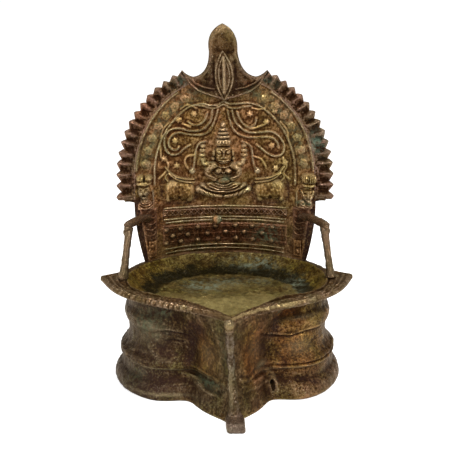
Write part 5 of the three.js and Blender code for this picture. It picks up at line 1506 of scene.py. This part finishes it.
# Attendants: the left one has a two-lobed topknot and cheeks, the right one a headband and a narrow face
attendants = {
    "left": {
        "span": ((-53.8, -42.0), (88.7, 110)), "seed": 71, "soft": 0.16,
        "domes": [((-50.4, 107.0), (2.9, 2.5), 5.0), ((-45.9, 107.0), (2.8, 2.4), 5.0),
                  ((-48.4, 104.4), (4.6, 1.7), 4.9, 3), ((-48.5, 99.6), (3.7, 4.5), 5.2),
                  ((-48.1, 96.2), (1.9, 1.7), 5.0), ((-48, 93.2), (2.4, 2.4), 3.0),
                  ((-47.3, 89.6), (4.9, 3.6), 2.4, 3)],
        "limbs": [([(-43.1, 99.0), (-42.8, 95.3), (-42.7, 91.8), (-42.9, 89.4)], 0.55, 1.9)],
        "lines": [([(-52.4 + 1.05 * k, 105.6), (-52.3 + 1.05 * k, 109.2)], 0.28, 0.5, 5)
                  for k in range(9)] + [
            ([(-48.2, 105.4), (-48.2, 109.4)], 0.4, -1.6, 5),
            ([(-52.4, 103.7), (-48.4, 103.1), (-44.6, 103.7)], 0.4, 0.5),
            ([(-52.4, 102.6), (-48.4, 102), (-44.8, 102.6)], 0.3, -0.7),
            ([(-48.6, 101), (-48.6, 98.6)], 0.45, 0.7, 5), ([(-49.6, 96.9), (-47.4, 96.9)], 0.3, -0.6, 5),
        ] + [([(-51.2, up + 0.8), (-48.4, up - 1.0), (-45.2, up - 0.8), (-42.9, up + 0.9)], 0.33, 0.75)
             for up in (93.4, 91.9, 90.3)],
        "dots": [((-50.3, 98.6), (1.35, 1.35), 0.8), ((-46.9, 98.6), (1.35, 1.35), 0.8),
                 ((-50.3, 100.9), (0.9, 0.45), -0.6), ((-46.9, 100.9), (0.9, 0.45), -0.6)],
        "paint": lambda x, y, z: {"gold": 0.45 * smoothStep(z, 98, 103),
                                  "copper": 0.5 * smoothStep(95 - z, 0, 3)},
    },
    "right": {
        "span": ((42.0, 55.2), (88.7, 110.2)), "seed": 72, "soft": 0.16,
        "domes": [((50.0, 106.2), (4.7, 3.5), 5.4, 2.6), ((49.8, 102.6), (4.2, 1.4), 4.9, 3),
                  ((49.2, 97.4), (3.3, 4.6), 4.6), ((49.4, 93.4), (1.5, 2.0), 4.6),
                  ((49.0, 89.8), (2.6, 1.8), 2.8), ((47.6, 90.2), (4.6, 3.4), 2.2, 3)],
        "limbs": [([(45.8, 98.8), (47.6, 95.4), (49.4, 92.6)], 1.0, 3.6),
                  ([(52.4, 98.8), (51.2, 95.4), (49.6, 92.6)], 1.0, 3.6),
                  ([(43.6, 99.6), (42.9, 97.4), (42.9, 93.3), (42.9, 89.5)], 0.55, 1.9)],
        "lines": [([(46.3 + 1.12 * k, 103.6), (46.0 + 1.12 * k, 106.4), (45.8 + 1.12 * k, 109.2)],
                   0.3, 0.6, 6) for k in range(8)] + [
            ([(49.2, 109), (50, 106.6), (49.2, 104.4)], 0.35, -0.8, 6),
            ([(43.9, 99.9), (47, 100.9), (50.4, 101.0), (53.6, 100.4)], 0.42, 1.2),
            ([(45.6, 99.6), (49.4, 99.9), (53, 99.5)], 0.3, -0.7),
            ([(49.2, 99.4), (49.3, 95.6)], 0.6, 0.9, 5), ([(48.6, 94.4), (50.2, 94.4)], 0.25, -0.6, 5),
            ([(45.2, 91.2), (48.6, 89.7), (52, 91.2)], 0.33, 0.7)],
        "dots": [((47.5, 97.9), (0.9, 0.5), -0.6), ((51, 97.9), (0.9, 0.5), -0.6),
                 ((50.6, 89.9), (0.7, 0.6), 0.8)],
        "paint": lambda x, y, z: {"gold": 0.55 * smoothStep(z, 92, 100), "green": 0.6 * hill(z, 92, 1.6),
                                  "copper": 0.4 * smoothStep(92 - z, 0, 2)},
    },
}


def attendantHeight(x, z, form):  # the figure, cut off straight at its foot
    return np.where(z < 88.9, -1, figureHeight(x, z, form) + 0.1 * castBumps(x, z, 2.0, form["seed"]))


for word, form in attendants.items():
    shell = reliefShell(*form["span"], 0.2, lambda x, z, form=form: attendantHeight(x, z, form))
    addPiece("attendant_" + word, shell, brass["figure"], ["attendant_" + word], wearReach=0.9,
             paint=form["paint"])
print("attendants")


# Throne: wires (height, half width, radius and sag), crossed band, bead panel and boss
throne = {"wires": {"throne_top_wire": (88.4, 36.8, 0.6, 0.4), "throne_wire_upper": (81.4, 36.8, 0.55, 0.4),
                    "foot_wire_upper": (63.2, 35.8, 0.5, 0.5), "foot_wire_lower": (60.6, 35.8, 0.5, 0.5)},
          "half": 37, "band": (85.1, 1.9), "cell": 3.7, "panel": (71.2, 6), "bead": ((1.45, 1.4), 1.6),
          "boss": (-4.4, 80.0), "bossRadii": (2.75, 1.9, 2.75)}


def throneLine(z, half, sag=0.0):  # nine points, sagging with the square of the way from the middle
    return [(half * t, z - sag * t * t) for t in (-1, -0.75, -0.5, -0.25, 0, 0.25, 0.5, 0.75, 1)]


for node, (z, half, radius, sag) in throne["wires"].items():
    shells = [laidWire(throneLine(z, half, sag), radius, seed=len(node) + int(z))]
    if node == "throne_wire_upper":
        shells.append(laidWire(throneLine(z - 1.9, half - 1, sag), 0.55, 0.4, seed=14))
    addPiece(node.replace("_w", "W").replace("_top", "Top"), joinShells(shells), brass["wire"], [node],
             wearReach=0.7)


def hatchHeight(x, z):  # low band, with a raised line wherever the way across a cell equals the way up
    middle, half = throne["band"]
    inside = np.minimum(throne["half"] - np.abs(x), half - np.abs(z - middle))
    level = 0.75 * smoothStep(inside, -0.3, 0.3) - 0.4 * (inside < -0.25)
    phase = x / throne["cell"]
    across = (phase - np.floor(phase) - 0.5) * throne["cell"]
    level += 0.55 * hill(np.abs(across) - np.abs(z - middle), 0, 0.3) * (inside > 0.1)
    return level + 0.08 * castBumps(x, z, 1.8, 81) * (inside > 0)


addPiece("hatchBand", reliefShell((-37.4, 37.4), (82.9, 87.3), 0.22, hatchHeight), brass["dark"],
         ["hatch_band"], wearReach=0.7)

beadSpots = [(-35.2, 74.6), (-26.6, 74.9), (-16.2, 75.2), (-5.4, 75.4), (6.6, 75.8), (16.6, 75.7),
             (28.5, 75.6), (-31.4, 70.6), (-22.3, 70.7), (-10.4, 70.7), (0.6, 71.5), (11.8, 71.5),
             (22.6, 71.2), (-35.3, 66.4), (-26.5, 66.6), (-16.2, 66.7), (-4, 67.0), (7.0, 67.2), (17, 66.8),
             (28.2, 66.6)]


def beadHeight(x, z):  # low panel with three wavy lines, three upright ones and the beads
    middle, half = throne["panel"]
    inside = np.minimum(throne["half"] - np.abs(x), half - np.abs(z - middle))
    level = (0.3 * smoothStep(inside, -0.3, 0.6) - 0.4 * (inside < -0.25)
             + 0.12 * castBumps(x, z, 6, 82) * (inside > 0))
    level += 0.07 * castBumps(x, z, 2, 83) * (inside > 0)
    for z0 in (75.2, 71.1, 66.8):
        level += 0.22 * hill(z, z0 + 0.3 * np.sin(x / 7), 0.3) * (inside > 0.2)
    for x0, z1, z2 in ((-16.2, 75, 66.8), (6.8, 75.8, 67.2), (-26.5, 66.6, 63.2)):
        level += 0.28 * hill(x, x0, 0.3) * (z < z1) * (z > z2) * (inside > 0)
    for spot in beadSpots:
        level = np.maximum(level, 0.3 + cap(x, z, spot, *throne["bead"]))
    return level


def beadPaint(x, y, z):  # rubbed beads on a copper ground, verdigris at the right
    beads = np.clip(sum(hill(np.hypot(x - x0, z - z0), 0, 1.3) for x0, z0 in beadSpots), 0, 1)
    return {"green": 0.8 * hill(x, 25, 8) * hill(z, 70, 6), "copper": 0.5 * (1 - beads), "gold": 0.4 * beads,
            "pale": 0.35 * beads, "stain": 0.3 * (1 - beads)}


addPiece("beadPanel", reliefShell((-37.3, 37.3), (64.9, 77.5), 0.3, beadHeight), brass["dark"],
         ["bead_panel"], wearReach=0.7, paint=beadPaint)


def bossPaint(x, y, z):  # copper on the left half, verdigris on the right
    return {"green": 0.9 * smoothStep(x, -4.6, -3.4), "copper": 0.9 * smoothStep(-4.2 - x, 0, 1.0)}


bossX, bossZ = throne["boss"]
boss = ball((bossX, plateFront(bossX, bossZ) - 2.2, bossZ), throne["bossRadii"], 16, 26)
addPiece("throneBoss", boss, brass["figure"], ["throne_boss"], wearReach=0.7, paint=bossPaint, roughness=0.12)
print("throne")


# Pilasters, given for the right side: heights, edges at foot and top, and the plaque
pilaster = {"foot": 58.1, "top": 88.6, "inner": (40.6, 41), "outer": (45.6, 50.8),
            "plaque": (43.2, 64.6, 2.3, 4.8),
            "drops": [((43.2, 66.4), (0.9, 1.1), 0.5), ((43.2, 62.8), (1.2, 1.7), 0.5)]}


def pilasterHeight(side):  # tapered strip with four curved lines, a plaque and two drops on it
    def height(x, z):  # u runs outward on either side
        u = side * x
        up = np.clip((z - pilaster["foot"]) / (pilaster["top"] - pilaster["foot"]), 0, 1)
        inside = np.minimum(u - mix(*pilaster["inner"], up), mix(*pilaster["outer"], up) - u)
        inside = np.minimum(inside, np.minimum(z - pilaster["foot"], pilaster["top"] - z))
        level = (0.5 * smoothStep(inside, -0.2, 0.7) - 0.5 * (inside < -0.15)
                 + 0.14 * castBumps(x, z, 3.4, 91) * (inside > 0))
        for k in range(4):
            level += ridge(u, z, [(41.4, 84 - 3.4 * k), (43.8, 82.6 - 3.4 * k),
                                  (46.4 + 0.2 * k, 83.8 - 3.4 * k)], 0.35, 0.4, 6)
        middle, height, halfWide, halfHigh = pilaster["plaque"]
        square = np.minimum(halfWide - np.abs(u - middle), halfHigh - np.abs(z - height))
        level += 0.8 * smoothStep(square, -0.2, 0.5)
        for drop in pilaster["drops"]:
            level += button(u, z, *drop)
        return np.minimum(level, 2.6)
    return height


def pilasterPaint(x, y, z):  # rubbed plaque, darker copper above it
    above = smoothStep(z - 70, 0, 2)
    return {"gold": 0.6 * smoothStep(70.2 - z, 0, 1), "copper": 0.25 * above, "stain": 0.4 * above}


for side, word in sides:
    shell = reliefShell(sorted((side * 40.2, side * 51.2)), (57.9, 88.8), 0.25, pilasterHeight(side))
    addPiece("pilaster_" + word, shell, brass["dark"], ["pilaster_" + word], wearReach=0.8,
             paint=pilasterPaint)
print("pilasters")


# Side struts: lumpy bars with the light on their outer faces
def bar(points, halfWide, halfDeep, seed, columns=20):  # rounded bar along a line in space
    curve = curveThrough(points, 60)
    along = headings(curve)
    front = np.array([0, -1.0, 0]) + along * along[:, 1:2]
    front /= np.linalg.norm(front, axis=1)[:, None]
    sideways = np.cross(along, front)
    c, s, reach = roundedSquare(columns, 3)
    share = np.linspace(0, 1, len(curve))
    wide, deep = (np.interp(share, np.linspace(0, 1, len(half)), half)[:, None]
                  for half in (halfWide, halfDeep))
    middle = curve[:, None, :]
    rings = middle + sideways[:, None, :] * (wide * reach * c)[..., None]
    rings = rings + front[:, None, :] * (deep * reach * s)[..., None]
    lumps = 1 + 0.07 * unevenness(rings, 4.5, seed) + 0.04 * unevenness(rings, 1.9, seed + 1)
    return closedTube(middle + (rings - middle) * lumps[..., None])


# Half widths from foot to top, and half depths
strut = {"left": {"wide": [3.0, 2.5, 2.15, 2.05, 2.1, 2.15, 2.3], "armDrop": 0.0},
         "right": {"wide": [2.6, 2.2, 2.0, 2.0, 2.15, 2.3, 2.5], "armDrop": -0.8},
         "deep": [3.3, 3.0, 2.8, 2.7, 2.7, 2.8, 2.9], "armWide": [2.1, 2.25, 2.1, 2.0, 2.0],
         "armDeep": [2.0, 2.2, 2.1, 2.1, 2.1],
         "armLumps": [(0.12, 0.9), (0.3, 0.75), (0.47, 0.8), (0.62, 0.7), (0.78, 0.7)]}


def postShell(side, word):  # bar from the rim up, bent a little forward, with a foot and two lumps
    base, top = np.array([side * 59.6, -0.6, 57.6]), np.array([side * 56.0, 7.4, 85.6])
    middle = (base + top) / 2 + np.array([0, -0.8, 0])
    post = bar([base, middle, top], strut[word]["wide"], strut["deep"], 101 + side)
    foot = ball((side * 59.6, -0.4, 58.0), (3.3, 3.6, 1.3), 10, 22)
    nub = ball((side * 57.7, 7.0, 82.8), (2.0, 2.2, 2.5), 10, 18)
    lump = ball((side * 57.2, 5.2, 85.6), (1.9, 2.0, 1.8), 10, 18)
    return joinShells([post, foot, nub, lump])


def armShell(side, word):  # bar from the post's head back to the plate, with lumps along it
    high = 87.0 + strut[word]["armDrop"]
    path = [(side * 57.3, 4.6, high), (side * 55.8, 8, high + 0.4), (side * 50.4, 26, 86.0),
            (side * 45.3, 41, 83.4)]
    shells = [bar(path, strut["armWide"], strut["armDeep"], 111 + side)]
    for share, size in strut["armLumps"]:
        spot = curveThrough(path, 40)[int(share * 39)]
        shells.append(ball(spot + np.array([0, -1.4, 1.2]), (size * 1.6, size * 1.2, size), 8, 14))
    return joinShells(shells)


def postPaint(x, y, z):  # painted shade on the side toward the bowl
    inner = 58.6 - np.abs(x) - (z - 57) * 0.12
    # Painted shade on the inner side
    return {"stain": 0.7 * smoothStep(inner, -0.4, 1.2), "copper": 0.2, "gold": 0.1}


def armPaint(x, y, z):  # plain brown copper
    return {"copper": 0.35}


for side, word in sides:
    for part, shell, paint in (("post_", postShell, postPaint), ("arm_", armShell, armPaint)):
        node = part + word
        addPiece(node, shell(side, word), brass["post"], [node], wearReach=1.1, paint=paint)
print("struts")
